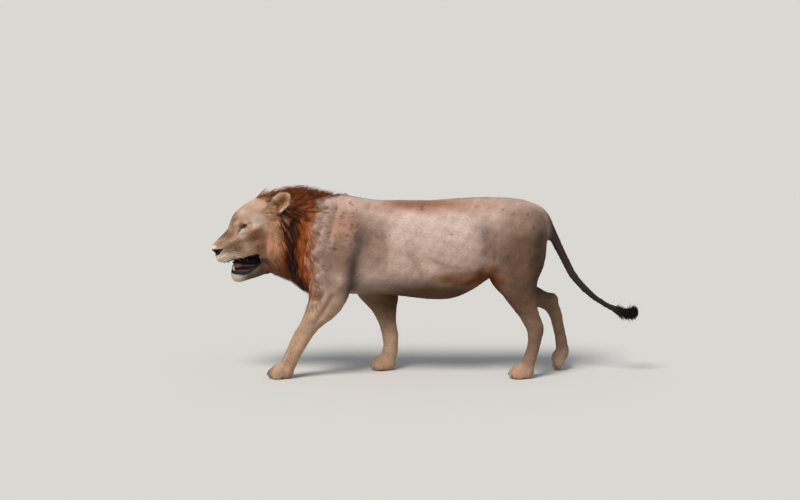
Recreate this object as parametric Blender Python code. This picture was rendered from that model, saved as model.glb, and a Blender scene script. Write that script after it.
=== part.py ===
"""A young male lion in mid walk, life size, divided into its named parts.

Metres, +Z up. The lion faces -X, so its left side faces -Y. The origin is on the floor, under
the middle of the model's box. The animal is modelled as a sculptor would do it in clay: tubes
follow the trunk and the limbs, muscle masses are pressed on, everything is fused into one body,
and thin cuts then part it into head, neck, trunk, legs, tail and so on.
"""

import math

import bmesh
import bpy
import numpy as np
from mathutils import Matrix, Vector

# ---------------------------------------------------------------- driving dimensions (metres)
CUT = 0.0005  # width of the cut between two neighbouring parts
VOXEL = 0.0050  # clay resolution when the masses are fused
BODY_TRIANGLES = 2550  # after the clay is fused, and before it is parted
HEAD_TRIANGLES = 1150
SMOOTHING = 6  # rounds of light smoothing over all the fused clay
BODY_BLEND = 500.0  # how strongly the body's muscles melt into each other
HEAD_BLEND = 60.0
BLEND_STEPS = 120
RING_SIDES = 32
SPAN_STEPS = 6  # rings between two stations of a tube

NOSE_TIP = Vector((-1.150, 0.0, 0.697))
HEAD_TURN = 20  # degrees by which the head's long axis rises backward from the nose
HEAD_PITCH = math.radians(HEAD_TURN)
EYE_RADIUS = 0.0185
EYE_PLACE = (0.211, 0.0620, 0.054)  # back from the nose tip, sideways, up, in the head's frame

EAR_ROOT = (0.372, 0.092, 0.074)  # in the head's frame, inside the skull
EAR_LEAN = (0.64, 0.45, 0.62)  # back, outward and up
EAR_LENGTH = 0.164
EAR_HALF_WIDTH = 0.054
EAR_WALL = 0.011
EAR_CURL = 0.030  # how far the ear's edges stand forward of its middle
EAR_CUT = 0.063  # from the ear's root to the cut that parts it from the head

# Left legs are at -Y, right legs at +Y.
LEFT, RIGHT = -1, 1
STANCE = 0.118  # half the distance between left and right paws
PALM_HEIGHT = 0.036
SOLE_FLAT = 0.0065  # whatever is lower than this is pressed flat on the floor
DOME_FLOOR = 0.385  # the leg cuts are open below this height
HEAD_BEGINS = -0.800  # x where the head meets the neck

# Each row is one upright ring: x, top, bottom, half width, height of the widest line from 0 to 1.
TRUNK = [
    (-0.630, 0.870, 0.600, 0.060, 0.45),
    (-0.570, 0.965, 0.500, 0.125, 0.42),
    (-0.500, 0.988, 0.455, 0.148, 0.40),
    (-0.420, 0.982, 0.440, 0.155, 0.40),
    (-0.330, 0.965, 0.440, 0.160, 0.42),
    (-0.240, 0.954, 0.440, 0.164, 0.43),
    (-0.100, 0.949, 0.425, 0.169, 0.43),
    (0.040, 0.949, 0.410, 0.173, 0.43),
    (0.150, 0.956, 0.416, 0.170, 0.45),
    (0.250, 0.963, 0.458, 0.158, 0.48),
    (0.350, 0.968, 0.525, 0.145, 0.52),
    (0.450, 0.967, 0.580, 0.140, 0.55),
    (0.550, 0.950, 0.620, 0.120, 0.55),
    (0.620, 0.918, 0.665, 0.090, 0.60),
    (0.655, 0.865, 0.720, 0.045, 0.60),
]

# The neck with its short mane, out to the hair's tips. The same columns as the trunk.
NECK = [
    (-0.900, 0.960, 0.640, 0.090, 0.50),
    (-0.850, 0.972, 0.585, 0.124, 0.42),
    (-0.790, 0.985, 0.541, 0.150, 0.42),
    (-0.720, 0.998, 0.500, 0.165, 0.42),
    (-0.650, 1.002, 0.450, 0.168, 0.42),
    (-0.590, 0.998, 0.425, 0.160, 0.42),
    (-0.520, 0.985, 0.450, 0.140, 0.42),
]

# The upright crest of the mane, from the forehead to the withers: x, top, half thickness.
CREST = [
    (-0.925, 0.958, 0.022),
    (-0.880, 1.000, 0.034),
    (-0.820, 1.030, 0.040),
    (-0.740, 1.042, 0.042),
    (-0.660, 1.044, 0.042),
    (-0.580, 1.032, 0.040),
    (-0.500, 1.006, 0.036),
    (-0.420, 0.984, 0.030),
    (-0.350, 0.962, 0.022),
]
CREST_DEPTH = 0.16  # how far the crest is set down into the neck

# The upper head in its own frame: back from the nose tip, top, bottom, half width, widest line.
HEAD = [
    (0.004, 0.004, -0.040, 0.022, 0.45),
    (0.014, 0.013, -0.066, 0.038, 0.42),
    (0.032, 0.024, -0.090, 0.053, 0.38),
    (0.060, 0.038, -0.104, 0.061, 0.34),
    (0.090, 0.052, -0.112, 0.064, 0.34),
    (0.115, 0.068, -0.118, 0.067, 0.38),
    (0.138, 0.096, -0.124, 0.073, 0.42),
    (0.165, 0.126, -0.130, 0.077, 0.44),
    (0.205, 0.147, -0.136, 0.088, 0.44),
    (0.250, 0.160, -0.140, 0.102, 0.46),
    (0.310, 0.172, -0.135, 0.115, 0.50),
    (0.360, 0.168, -0.120, 0.112, 0.54),
    (0.410, 0.146, -0.100, 0.094, 0.56),
]

# The lower jaw, in the row frame: x, z of its middle, half height, half width.
JAW = [
    (-1.048, 0.556, 0.022, 0.022),
    (-1.034, 0.548, 0.036, 0.034),
    (-1.005, 0.546, 0.042, 0.042),
    (-0.955, 0.555, 0.037, 0.050),
    (-0.905, 0.574, 0.042, 0.064),
    (-0.855, 0.612, 0.060, 0.084),
    (-0.800, 0.655, 0.080, 0.096),
]

# A limb's row: x, distance from the mid plane, z, half depth fore and aft, half width.
LEFT_FORE = [
    (-0.480, 0.110, 0.780, 0.105, 0.050),
    (-0.505, 0.128, 0.660, 0.118, 0.066),
    (-0.505, 0.134, 0.560, 0.118, 0.068),
    (-0.513, 0.132, 0.480, 0.114, 0.061),
    (-0.543, 0.128, 0.400, 0.094, 0.054),
    (-0.597, 0.124, 0.325, 0.063, 0.050),
    (-0.640, 0.120, 0.260, 0.050, 0.046),
    (-0.672, 0.118, 0.205, 0.049, 0.047),
    (-0.702, 0.118, 0.148, 0.044, 0.047),
    (-0.728, 0.118, 0.092, 0.044, 0.050),
    (-0.745, 0.118, 0.052, 0.042, 0.050),
]
RIGHT_FORE = [
    (-0.430, 0.110, 0.780, 0.105, 0.050),
    (-0.385, 0.128, 0.660, 0.118, 0.066),
    (-0.330, 0.134, 0.560, 0.115, 0.068),
    (-0.275, 0.132, 0.480, 0.119, 0.061),
    (-0.234, 0.128, 0.395, 0.100, 0.054),
    (-0.215, 0.124, 0.320, 0.066, 0.050),
    (-0.202, 0.120, 0.255, 0.050, 0.046),
    (-0.190, 0.118, 0.200, 0.048, 0.047),
    (-0.186, 0.118, 0.145, 0.043, 0.047),
    (-0.192, 0.118, 0.090, 0.044, 0.050),
    (-0.205, 0.118, 0.050, 0.042, 0.050),
]
LEFT_HIND = [
    (0.500, 0.085, 0.830, 0.120, 0.060),
    (0.500, 0.108, 0.720, 0.152, 0.074),
    (0.490, 0.122, 0.620, 0.150, 0.080),
    (0.492, 0.128, 0.545, 0.126, 0.074),
    (0.508, 0.128, 0.475, 0.098, 0.064),
    (0.534, 0.126, 0.405, 0.072, 0.052),
    (0.562, 0.122, 0.340, 0.055, 0.043),
    (0.587, 0.120, 0.280, 0.049, 0.038),
    (0.592, 0.118, 0.225, 0.042, 0.035),
    (0.580, 0.118, 0.160, 0.037, 0.036),
    (0.562, 0.118, 0.100, 0.038, 0.043),
    (0.548, 0.118, 0.055, 0.040, 0.048),
]
RIGHT_HIND = [
    (0.490, 0.085, 0.830, 0.120, 0.060),
    (0.480, 0.108, 0.720, 0.150, 0.074),
    (0.455, 0.122, 0.620, 0.142, 0.080),
    (0.455, 0.128, 0.535, 0.112, 0.074),
    (0.500, 0.128, 0.462, 0.088, 0.064),
    (0.565, 0.126, 0.420, 0.068, 0.052),
    (0.625, 0.122, 0.398, 0.054, 0.043),
    (0.680, 0.120, 0.372, 0.047, 0.038),
    (0.712, 0.118, 0.320, 0.040, 0.035),
    (0.732, 0.118, 0.245, 0.034, 0.034),
    (0.748, 0.118, 0.170, 0.034, 0.038),
    (0.756, 0.118, 0.110, 0.036, 0.045),
]
TAIL = [
    (0.575, 0.000, 0.892, 0.050, 0.048),
    (0.625, 0.000, 0.868, 0.042, 0.040),
    (0.662, 0.002, 0.815, 0.032, 0.031),
    (0.702, 0.006, 0.735, 0.028, 0.028),
    (0.749, 0.012, 0.640, 0.026, 0.026),
    (0.802, 0.016, 0.540, 0.024, 0.024),
    (0.876, 0.016, 0.455, 0.022, 0.022),
    (0.955, 0.012, 0.394, 0.020, 0.020),
    (1.030, 0.006, 0.356, 0.024, 0.022),
    (1.075, 0.002, 0.338, 0.040, 0.034),
    (1.110, 0.000, 0.345, 0.050, 0.040),
    (1.136, 0.000, 0.372, 0.032, 0.028),
    (1.146, 0.000, 0.392, 0.012, 0.012),
]


TOOTH_BEND = 0.0025
# The tongue lies on the lower jaw, and the nose leather is the tip of the muzzle, in its frame.
TONGUE = ((-0.958, 0.0, 0.596), (0.078, 0.029, 0.014), -9)
NOSE_LEATHER = ((0.030, 0.0, -0.029), (0.036, 0.040, 0.0155), -12)

# ---------------------------------------------------------------- where the body is parted
# Each leg leaves the trunk along a dome over it: x and y of the dome's middle, and its radii.
LEG_DOMES = {
    "left_foreleg": (-0.485, -0.205, (0.190, 0.155, 0.430)),
    "right_foreleg": (-0.320, 0.205, (0.215, 0.155, 0.430)),
    "left_hind_leg": (0.475, -0.205, (0.195, 0.165, 0.470)),
    "right_hind_leg": (0.485, 0.205, (0.290, 0.165, 0.470)),
}

# Flat cuts in order: the piece, a point and the direction across the cut, the cutter's width, and
# the pieces that it makes, each with a point near its middle.
CUTS = [
    ("body", (0.660, 0, 0.800), (0.96, 0, 0.275), 0.40,
     {"body": (0, 0, 0.7), "tail": (0.85, 0, 0.5)}),
    ("body", (-0.790, 0, 0.800), (0.976, 0, -0.217), 0.80,
     {"body": (0, 0, 0.7), "head": (-0.95, 0, 0.8)}),
    ("body", (-0.580, 0, 0.750), (0.97, 0, -0.24), 0.90,
     {"body": (0, 0, 0.7), "neck": (-0.7, 0, 0.75)}),
    ("body", (-0.200, 0, 0.700), (1, 0, 0), 0.90,
     {"body": (0.2, 0, 0.7), "chest": (-0.4, 0, 0.7)}),
    ("body", (0.300, 0, 0.700), (1, 0, 0), 0.90,
     {"belly": (0, 0, 0.7), "rump": (0.5, 0, 0.8)}),
    ("head", (-0.860, 0, 0.629), (-0.15, 0, 1), 0.34,
     {"head": (-0.95, 0, 0.75), "lower_jaw": (-0.95, 0, 0.5)}),
    ("left_foreleg", (-0.560, -0.12, 0.395), (-0.5, 0, -0.86), 0.30,
     {"left_upper_arm": (-0.5, 0, 0.7), "low": (-0.6, 0, 0.3)}),
    ("low", (-0.717, -0.12, 0.118), (-0.4, 0, -0.92), 0.16,
     {"left_forearm": (-0.56, 0, 0.4), "left_forepaw": (-0.75, 0, 0)}),
    ("right_foreleg", (-0.235, 0.12, 0.395), (0.25, 0, -0.97), 0.30,
     {"right_upper_arm": (-0.25, 0, 0.7), "low": (-0.2, 0, 0.3)}),
    ("low", (-0.187, 0.12, 0.115), (0, 0, -1), 0.16,
     {"right_forearm": (-0.2, 0, 0.4), "right_forepaw": (-0.2, 0, 0)}),
    ("left_hind_leg", (0.525, -0.12, 0.425), (0.35, 0, -0.94), 0.34,
     {"left_thigh": (0.48, 0, 0.7), "low": (0.6, 0, 0.25)}),
    ("low", (0.596, -0.12, 0.255), (-0.05, 0, -1), 0.16,
     {"left_shank": (0.52, 0, 0.4), "foot": (0.57, 0, 0.1)}),
    ("foot", (0.568, -0.12, 0.118), (-0.3, 0, -0.95), 0.16,
     {"left_hock": (0.6, 0, 0.25), "left_hind_paw": (0.56, 0, 0)}),
    ("right_hind_leg", (0.530, 0.12, 0.440), (0.80, 0, -0.60), 0.34,
     {"right_thigh": (0.48, 0, 0.7), "low": (0.7, 0, 0.3)}),
    ("low", (0.700, 0.12, 0.350), (0.45, 0, -0.89), 0.16,
     {"right_shank": (0.53, 0, 0.44), "foot": (0.75, 0, 0.1)}),
    ("foot", (0.755, 0.12, 0.125), (0.1, 0, -1), 0.16,
     {"right_hock": (0.7, 0, 0.35), "right_hind_paw": (0.75, 0, 0)}),
    ("tail", (0.775, 0.014, 0.590), (0.53, 0, -0.85), 0.12,
     {"tail_base": (0.7, 0, 0.7), "rest": (0.85, 0, 0.5)}),
    ("rest", (0.915, 0.014, 0.425), (0.77, 0, -0.64), 0.12,
     {"tail_middle": (0.85, 0, 0.5), "end": (1, 0, 0.35)}),
    ("end", (1.040, 0.005, 0.352), (0.9, 0, -0.35), 0.12,
     {"tail_end": (0.97, 0, 0.4), "tail_tuft": (1.1, 0, 0.34)}),
]

# Slot: display colour, roughness, and words in the names of the pieces that it covers.
FINISHES = {
    "eye_amber": ("6b4a1c", 0.10, ("eye",)),
    "nose_leather": ("2a2524", 0.45, ("nose",)),
    "tongue_flesh": ("9a6a5c", 0.40, ("tongue",)),
    "tooth_ivory": ("d9cfb4", 0.30, ("canine",)),
    "tuft_fur": ("2b2620", 0.90, ("tuft",)),
    "mane_fur": ("7a4a2e", 0.90, ("neck",)),
    "face_fur": ("9c7d68", 0.85, ("head", "jaw", "_ear")),
    "body_fur": ("b5978a", 0.85, ("",)),
}


# ---------------------------------------------------------------- curves and tubes
def flow(stations):
    """Rows spaced finely along a smooth curve through the stations."""
    rows = np.array(stations, float)
    gaps = np.linalg.norm(np.diff(rows[:, :3], axis=0), axis=1)
    along = np.concatenate([[0.0], np.cumsum(gaps)])
    slopes = np.gradient(rows, along, axis=0)
    fine = []
    for i, gap in enumerate(gaps):
        for t in np.arange(SPAN_STEPS) / SPAN_STEPS:
            h00, h10 = 2 * t**3 - 3 * t**2 + 1, t**3 - 2 * t**2 + t
            h01, h11 = -2 * t**3 + 3 * t**2, t**3 - t**2
            fine.append(
                h00 * rows[i] + h10 * gap * slopes[i] + h01 * rows[i + 1] + h11 * gap * slopes[i + 1]
            )
    fine.append(rows[-1])
    return np.array(fine)


def tube(name, rings):
    """A closed tube through rings of points, with a fan at each end."""
    bm = bmesh.new()
    loops = [[bm.verts.new(point) for point in ring] for ring in rings]
    for a, b in zip(loops, loops[1:]):
        for i in range(len(a)):
            j = (i + 1) % len(a)
            bm.faces.new((a[i], a[j], b[j], b[i]))
    for loop in (loops[0], loops[-1]):
        middle = bm.verts.new(sum((v.co for v in loop), Vector()) / len(loop))
        for i in range(len(loop)):
            bm.faces.new((loop[i], loop[(i + 1) % len(loop)], middle))
    bmesh.ops.recalc_face_normals(bm, faces=bm.faces)
    return keep(name, bm)


def keep(name, bm):
    """Turns a bmesh into an object of the scene."""
    mesh = bpy.data.meshes.new(name)
    bm.to_mesh(mesh)
    bm.free()
    obj = bpy.data.objects.new(name, mesh)
    bpy.context.scene.collection.objects.link(obj)
    return obj


def ring_angles():
    return [2 * math.pi * i / RING_SIDES for i in range(RING_SIDES)]


def egg(top, bottom, half_width, widest, boxy=2.0):
    """Sideways and upward places round an egg-shaped ring, widest at that share of its height.

    Boxy is the exponent of the super-ellipse: 2 is round, and more is squarer.
    """
    level = bottom + widest * (top - bottom)
    places = []
    for angle in ring_angles():
        across, rise = math.cos(angle), math.sin(angle)
        across = math.copysign(abs(across) ** (2 / boxy), across)
        rise = math.copysign(abs(rise) ** (2 / boxy), rise)
        reach = (top - level) if rise > 0 else (level - bottom)
        places.append((half_width * across, level + reach * rise))
    return places


def barrel(name, stations):
    """A tube of upright egg rings along X."""
    rings = []
    for x, top, bottom, half_width, widest in flow(stations):
        ring = egg(top, bottom, half_width, widest, boxy=2.15)
        rings.append([Vector((x, y, z)) for y, z in ring])
    return tube(name, rings)


def limb(name, stations, side):
    """A tube whose rings stand square to its own path, on one side of the body."""
    rows = flow(stations)
    path = rows[:, :3] * (1, side, 1)
    headings = np.gradient(path, axis=0)
    across = Vector((0, 1, 0))
    rings = []
    for place, heading, (half_depth, half_width) in zip(path, headings, rows[:, 3:]):
        fore = Vector(heading).cross(across).normalized()
        out = fore.cross(Vector(heading)).normalized()
        rings.append(
            [
                Vector(place) + fore * half_depth * math.sin(a) + out * half_width * math.cos(a)
                for a in ring_angles()
            ]
        )
    return tube(name, rings)


def lump(name, centre, radii, pitch=0.0, yaw=0.0, roll=0.0):
    """A muscle mass: an ellipsoid, turned by degrees about Y (pitch), Z (yaw) and X (roll)."""
    bm = bmesh.new()
    bmesh.ops.create_uvsphere(bm, u_segments=28, v_segments=16, radius=1.0)
    turn = (
        Matrix.Rotation(math.radians(yaw), 4, "Z")
        @ Matrix.Rotation(math.radians(pitch), 4, "Y")
        @ Matrix.Rotation(math.radians(roll), 4, "X")
    )
    scale = Matrix.Diagonal((*radii, 1.0))
    bm.transform(Matrix.Translation(centre) @ turn @ scale)
    return keep(name, bm)


# ---------------------------------------------------------------- head frame
BACK_AXIS = Vector((math.cos(HEAD_PITCH), 0, math.sin(HEAD_PITCH)))
UP_AXIS = Vector((-math.sin(HEAD_PITCH), 0, math.cos(HEAD_PITCH)))


def on_head(back, side, up):
    """A point given in the head's frame: back from the nose tip, sideways, and up."""
    return NOSE_TIP + BACK_AXIS * back + Vector((0, side, 0)) + UP_AXIS * up


def head_lump(name, place, radii, pitch=0.0, yaw=0.0):
    """A mass on the head. Positive pitch raises its back end in the head's frame."""
    return lump(name, on_head(*place), radii, pitch=-math.degrees(HEAD_PITCH) - pitch, yaw=yaw)


def ear(side):
    """A cupped, rounded ear: a curled leaf with a thick rim, its hollow facing out and forward."""
    base = on_head(*EAR_ROOT[:1], side * EAR_ROOT[1], EAR_ROOT[2])
    along = Vector((EAR_LEAN[0], side * EAR_LEAN[1], EAR_LEAN[2])).normalized()
    facing = Vector((-0.55, side * 0.83, 0.10))
    facing = (facing - along * facing.dot(along)).normalized()
    width = along.cross(facing).normalized()
    steps = 12
    bm = bmesh.new()
    rows = []
    for i in range(steps + 1):
        v = i / steps
        reach = EAR_HALF_WIDTH * (0.66 + 0.34 * math.sin(math.pi / 2 * min(1.0, v * 1.3)))
        reach *= math.sqrt(max(0.01, 1 - max(0.0, (v - 0.45) / 0.55) ** 2.6))
        row = []
        for j in range(steps + 1):
            u = 2 * j / steps - 1
            hollow = EAR_CURL * (1.2 - 0.8 * v) * u * u
            row.append(bm.verts.new(base + along * EAR_LENGTH * v + width * reach * u + facing * hollow))
        rows.append(row)
    for a, b in zip(rows, rows[1:]):
        for i in range(steps):
            bm.faces.new((a[i], a[i + 1], b[i + 1], b[i]))
    obj = keep("ear_clay", bm)
    solid = obj.modifiers.new("wall", "SOLIDIFY")
    solid.thickness = EAR_WALL
    solid.offset = 0.0
    return obj


def head_clay():
    """Skull, muzzle, cheeks, brows and ears."""
    rings = []
    for back, top, bottom, half_width, widest in flow(HEAD):
        ring = egg(top, bottom, half_width, widest, boxy=2.5)
        rings.append([on_head(back, y, up) for y, up in ring])
    made = [tube("head_clay", rings)]
    made.append(head_lump("bridge", (0.085, 0, 0.022), (0.085, 0.030, 0.022), pitch=26))
    made.append(head_lump("nose_pad", (0.020, 0, -0.010), (0.026, 0.034, 0.024)))
    for side in (LEFT, RIGHT):
        made.append(
            head_lump("whisker_pad", (0.062, side * 0.033, -0.060), (0.060, 0.036, 0.045), pitch=4)
        )
        made.append(head_lump("nostril_wing", (0.022, side * 0.022, -0.008), (0.020, 0.015, 0.018)))
        made.append(head_lump("brow", (0.186, side * 0.045, 0.097), (0.050, 0.034, 0.028), pitch=30))
        made.append(head_lump("cheek_bone", (0.272, side * 0.064, -0.012), (0.110, 0.045, 0.065)))
        made.append(head_lump("jaw_muscle", (0.300, side * 0.074, -0.080), (0.080, 0.050, 0.085)))
        made.append(ear(side))
    return made


def jaw_clay():
    """The dropped lower jaw with its chin."""
    rings = []
    for x, z, half_height, half_width in flow(JAW):
        ring = egg(z + half_height, z - half_height, half_width, 0.55, boxy=2.3)
        rings.append([Vector((x, y, up)) for y, up in ring])
    return [tube("jaw_clay", rings)]


# ---------------------------------------------------------------- body
def crest_clay():
    """The mane's upright crest along the top of the neck."""
    rings = []
    for x, top, half_width in flow(CREST):
        rings.append([Vector((x, y, z)) for y, z in egg(top, top - CREST_DEPTH, half_width, 0.5)])
    return tube("crest", rings)


def paw(palm, side, droop=0.0):
    """A palm and four toes. Droop turns the toes down from level, in degrees."""
    x, z = palm
    turn = Matrix.Rotation(math.radians(-droop), 4, "Y")

    def put(forward, sideways, up):
        return Vector((x, side * STANCE, z)) + turn @ Vector((-forward, sideways, up))

    made = [
        lump("palm", put(0.000, 0, 0.000), (0.052, 0.050, 0.040), pitch=-droop),
        lump("knuckles", put(0.028, 0, 0.014), (0.044, 0.052, 0.032), pitch=-droop),
    ]
    for sideways, forward in ((-0.044, 0.042), (-0.0155, 0.062), (0.0155, 0.062), (0.044, 0.042)):
        toe = put(forward, sideways, -0.009)
        made.append(lump("toe", toe, (0.036, 0.0170, 0.029), pitch=-droop))
    return made


def legs_clay():
    """Four legs with their paws and heel bones."""
    made = [
        limb("left_fore", LEFT_FORE, LEFT),
        limb("right_fore", RIGHT_FORE, RIGHT),
        limb("left_hind", LEFT_HIND, LEFT),
        limb("right_hind", RIGHT_HIND, RIGHT),
    ]
    made += paw((-0.755, PALM_HEIGHT), LEFT)
    made += paw((-0.205, PALM_HEIGHT), RIGHT)
    made += paw((0.540, PALM_HEIGHT), LEFT)
    made += paw((0.752, 0.091), RIGHT, droop=62)
    made.append(lump("heel", (0.620, -0.118, 0.272), (0.026, 0.024, 0.042), pitch=-8))
    made.append(lump("heel", (0.704, 0.118, 0.402), (0.030, 0.024, 0.036), pitch=-50))
    return made


def muscles_clay():
    """The masses that join the legs to the trunk. Swing is how far a shoulder leads or trails."""
    made = []
    for side, swing in ((LEFT, -0.035), (RIGHT, 0.035)):
        blade = (-0.460 + swing * 0.6, side * 0.090, 0.780)
        tilt = {"pitch": 18 + swing * 200, "roll": side * 16}
        made.append(lump("shoulder_blade", blade, (0.095, 0.052, 0.190), **tilt))
        point = (-0.530 + swing, side * 0.122, 0.640)
        made.append(lump("shoulder_point", point, (0.090, 0.056, 0.105), pitch=15))
        triceps = (-0.410 + swing, side * 0.130, 0.610)
        made.append(lump("triceps", triceps, (0.090, 0.054, 0.115), pitch=-25))
        made.append(lump("haunch", (0.530, side * 0.092, 0.760), (0.130, 0.072, 0.155), pitch=12))
        made.append(lump("buttock", (0.592, side * 0.070, 0.710), (0.062, 0.060, 0.115), pitch=5))
        made.append(lump("flank_fold", (0.345, side * 0.108, 0.612), (0.080, 0.046, 0.055), pitch=35))
    made.append(lump("scrotum", (0.622, 0, 0.664), (0.032, 0.036, 0.042)))
    made.append(lump("breast", (-0.585, 0, 0.560), (0.080, 0.110, 0.110)))
    return made


# ---------------------------------------------------------------- fusing and smoothing
def evaluated(obj):
    """A free copy of the object's mesh with its modifiers done."""
    bpy.context.view_layer.update()
    graph = bpy.context.evaluated_depsgraph_get()
    mesh = bpy.data.meshes.new_from_object(obj.evaluated_get(graph))
    mesh.transform(obj.matrix_world)
    return mesh


def joined(name, objects):
    """One object that holds every shape, and the shapes gone."""
    bm = bmesh.new()
    for obj in objects:
        bm.from_mesh(evaluated(obj))
        bpy.data.objects.remove(obj)
    return keep(name, bm)


def bake_modifiers(obj):
    """Turns the object's modifiers into its mesh."""
    mesh = evaluated(obj)
    obj.modifiers.clear()
    obj.data = mesh


def places_of(mesh):
    places = np.empty(len(mesh.vertices) * 3)
    mesh.vertices.foreach_get("co", places)
    return places.reshape(-1, 3)


def bumpiness(mesh):
    """A function that gives how far each vertex stands off its neighbours, for any places."""
    edges = np.empty(len(mesh.edges) * 2, int)
    mesh.edges.foreach_get("vertices", edges)
    a, b = edges.reshape(-1, 2).T
    count = len(mesh.vertices)

    def measure(places):
        steps = (places[a] - places[b]) / 4
        off = np.empty_like(places)
        for axis in range(3):
            step = steps[:, axis]
            off[:, axis] = np.bincount(a, step, count) - np.bincount(b, step, count)
        return off

    return measure


def relax(mesh, rounds, pull=0.55, push_back=-0.57):
    """Takes out the roughness without shrinking: each round pulls in, then pushes back out."""
    measure = bumpiness(mesh)
    places = places_of(mesh)
    for _ in range(rounds):
        places = places - pull * measure(places)
        places = places - push_back * measure(places)
    mesh.vertices.foreach_set("co", places.ravel())
    mesh.update()


def blend(mesh, softness):
    """Melts creases into broad curves, and keeps the large form and the volume.

    It finds the places that stay near the old ones and bend least, by conjugate gradients.
    """
    measure = bumpiness(mesh)
    weight = softness[:, None]
    start = places_of(mesh)
    places = start.copy()
    rest = -measure(weight * measure(places))
    search = rest.copy()
    energy = (rest * rest).sum(axis=0)
    for _ in range(BLEND_STEPS):
        pushed = search + measure(weight * measure(search))
        stride = energy / (search * pushed).sum(axis=0)
        places = places + stride * search
        rest = rest - stride * pushed
        new_energy = (rest * rest).sum(axis=0)
        search = rest + search * (new_energy / energy)
        energy = new_energy
    mesh.vertices.foreach_set("co", places.ravel())
    mesh.update()


def ramp(values, low, high):
    """0 below low, 1 above high, and smooth between."""
    t = np.clip((values - low) / (high - low), 0.0, 1.0)
    return t * t * (3 - 2 * t)


def body_share(mesh):
    """1 on trunk, neck and upper legs, 0 on head, tail and paws, where small shapes matter."""
    x, _, z = places_of(mesh).T
    behind_head = ramp(x + 0.35 * (z - 0.8), -0.86, -0.76)
    above_paws = ramp(z, 0.10, 0.20)
    before_tail = 1 - ramp(x, 0.66, 0.70) * ramp(z, 0.42, 0.48)
    return behind_head * above_paws * before_tail


def head_share(mesh):
    """1 on the skull and muzzle, 0 on the thin ears and behind the head."""
    x, y, z = places_of(mesh).T
    before_neck = 1 - ramp(x, -0.82, -0.78)
    off_ears = 1 - ramp(np.abs(y) + 0.5 * (z - 0.90), 0.095, 0.115) * ramp(x, -0.90, -0.86)
    return before_neck * off_ears


def flatten_soles(mesh, height):
    """Presses what is lower than the height into flats at floor level."""
    places = places_of(mesh)
    places[places[:, 2] < height, 2] = 0.0
    mesh.vertices.foreach_set("co", places.ravel())
    mesh.update()


def remesh(obj):
    """Rebuilds the skin of all overlapping shapes as one even, closed skin."""
    modifier = obj.modifiers.new("fuse", "REMESH")
    modifier.mode = "VOXEL"
    modifier.voxel_size = VOXEL
    bake_modifiers(obj)


def thin_out(obj):
    """Thins the body to few triangles, then the head, so that the head keeps a share of its own."""
    for kept_part, budget in (("head", BODY_TRIANGLES), ("body", HEAD_TRIANGLES)):
        in_head = places_of(obj.data)[:, 0] < HEAD_BEGINS
        kept = in_head if kept_part == "head" else ~in_head
        kept_faces = sum(kept[face.vertices[0]] * (len(face.vertices) - 2) for face in obj.data.polygons)
        all_faces = sum(len(face.vertices) - 2 for face in obj.data.polygons)
        group = obj.vertex_groups.new(name="thinned")
        group.add(np.flatnonzero(~kept).tolist(), 1.0, "REPLACE")
        thin = obj.modifiers.new("facets", "DECIMATE")
        thin.ratio = (kept_faces + budget) / all_faces
        thin.vertex_group = group.name
        thin.vertex_group_factor = 1.0
        bake_modifiers(obj)
        obj.vertex_groups.clear()


def fuse(objects):
    """All the clay as one closed body, smoothed and then thinned to few triangles."""
    body = joined("lion", objects)
    remesh(body)
    palate = lump("palate", on_head(0.120, 0, -0.118), (0.088, 0.038, 0.022), pitch=-HEAD_TURN)
    cut_out(body, palate)
    bpy.data.objects.remove(palate)
    for side in (LEFT, RIGHT):
        socket = lump("socket", on_head(0.204, side * 0.090, 0.053), (0.036, 0.036, 0.019), pitch=-16)
        cut_out(body, socket)
        bpy.data.objects.remove(socket)
    remesh(body)
    relax(body.data, SMOOTHING)
    softness = BODY_BLEND * body_share(body.data) ** 2 + HEAD_BLEND * head_share(body.data)
    blend(body.data, softness)
    flatten_soles(body.data, SOLE_FLAT)
    thin_out(body)
    flatten_soles(body.data, SOLE_FLAT / 2)
    return body


# ---------------------------------------------------------------- parting
def slab(centre, normal, size=0.8):
    """A thin flat cutter through centre, square to normal."""
    bm = bmesh.new()
    bmesh.ops.create_cube(bm, size=1.0)
    turn = Vector(normal).to_track_quat("Z", "Y").to_matrix().to_4x4()
    bm.transform(Matrix.Translation(centre) @ turn @ Matrix.Diagonal((size, size, CUT, 1)))
    return keep("cutter", bm)


def dome(centre, radii, rim):
    """A thin cutter shaped as a squarish dome, open below the height rim."""
    bm = bmesh.new()
    bmesh.ops.create_uvsphere(bm, u_segments=20, v_segments=12, radius=1.0)
    for vertex in bm.verts:
        reach = math.hypot(vertex.co.x, vertex.co.y)
        if reach > 1e-6:
            along, across = vertex.co.x / reach, vertex.co.y / reach
            vertex.co.x = reach * math.copysign(abs(along) ** 0.55, along)
            vertex.co.y = reach * math.copysign(abs(across) ** 0.55, across)
    bm.transform(Matrix.Translation(centre) @ Matrix.Diagonal((*radii, 1.0)))
    low = [v for v in bm.verts if v.co.z < rim - CUT]
    bmesh.ops.delete(bm, geom=low, context="VERTS")
    obj = keep("cutter", bm)
    shell = obj.modifiers.new("shell", "SOLIDIFY")
    shell.thickness = CUT
    shell.offset = 0.0
    bake_modifiers(obj)
    return obj


def cut_out(obj, cutter):
    """Takes the cutter's shape out of obj."""
    boolean = obj.modifiers.new("cut", "BOOLEAN")
    boolean.operation = "DIFFERENCE"
    boolean.solver = "EXACT"
    boolean.object = cutter
    bake_modifiers(obj)


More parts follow.
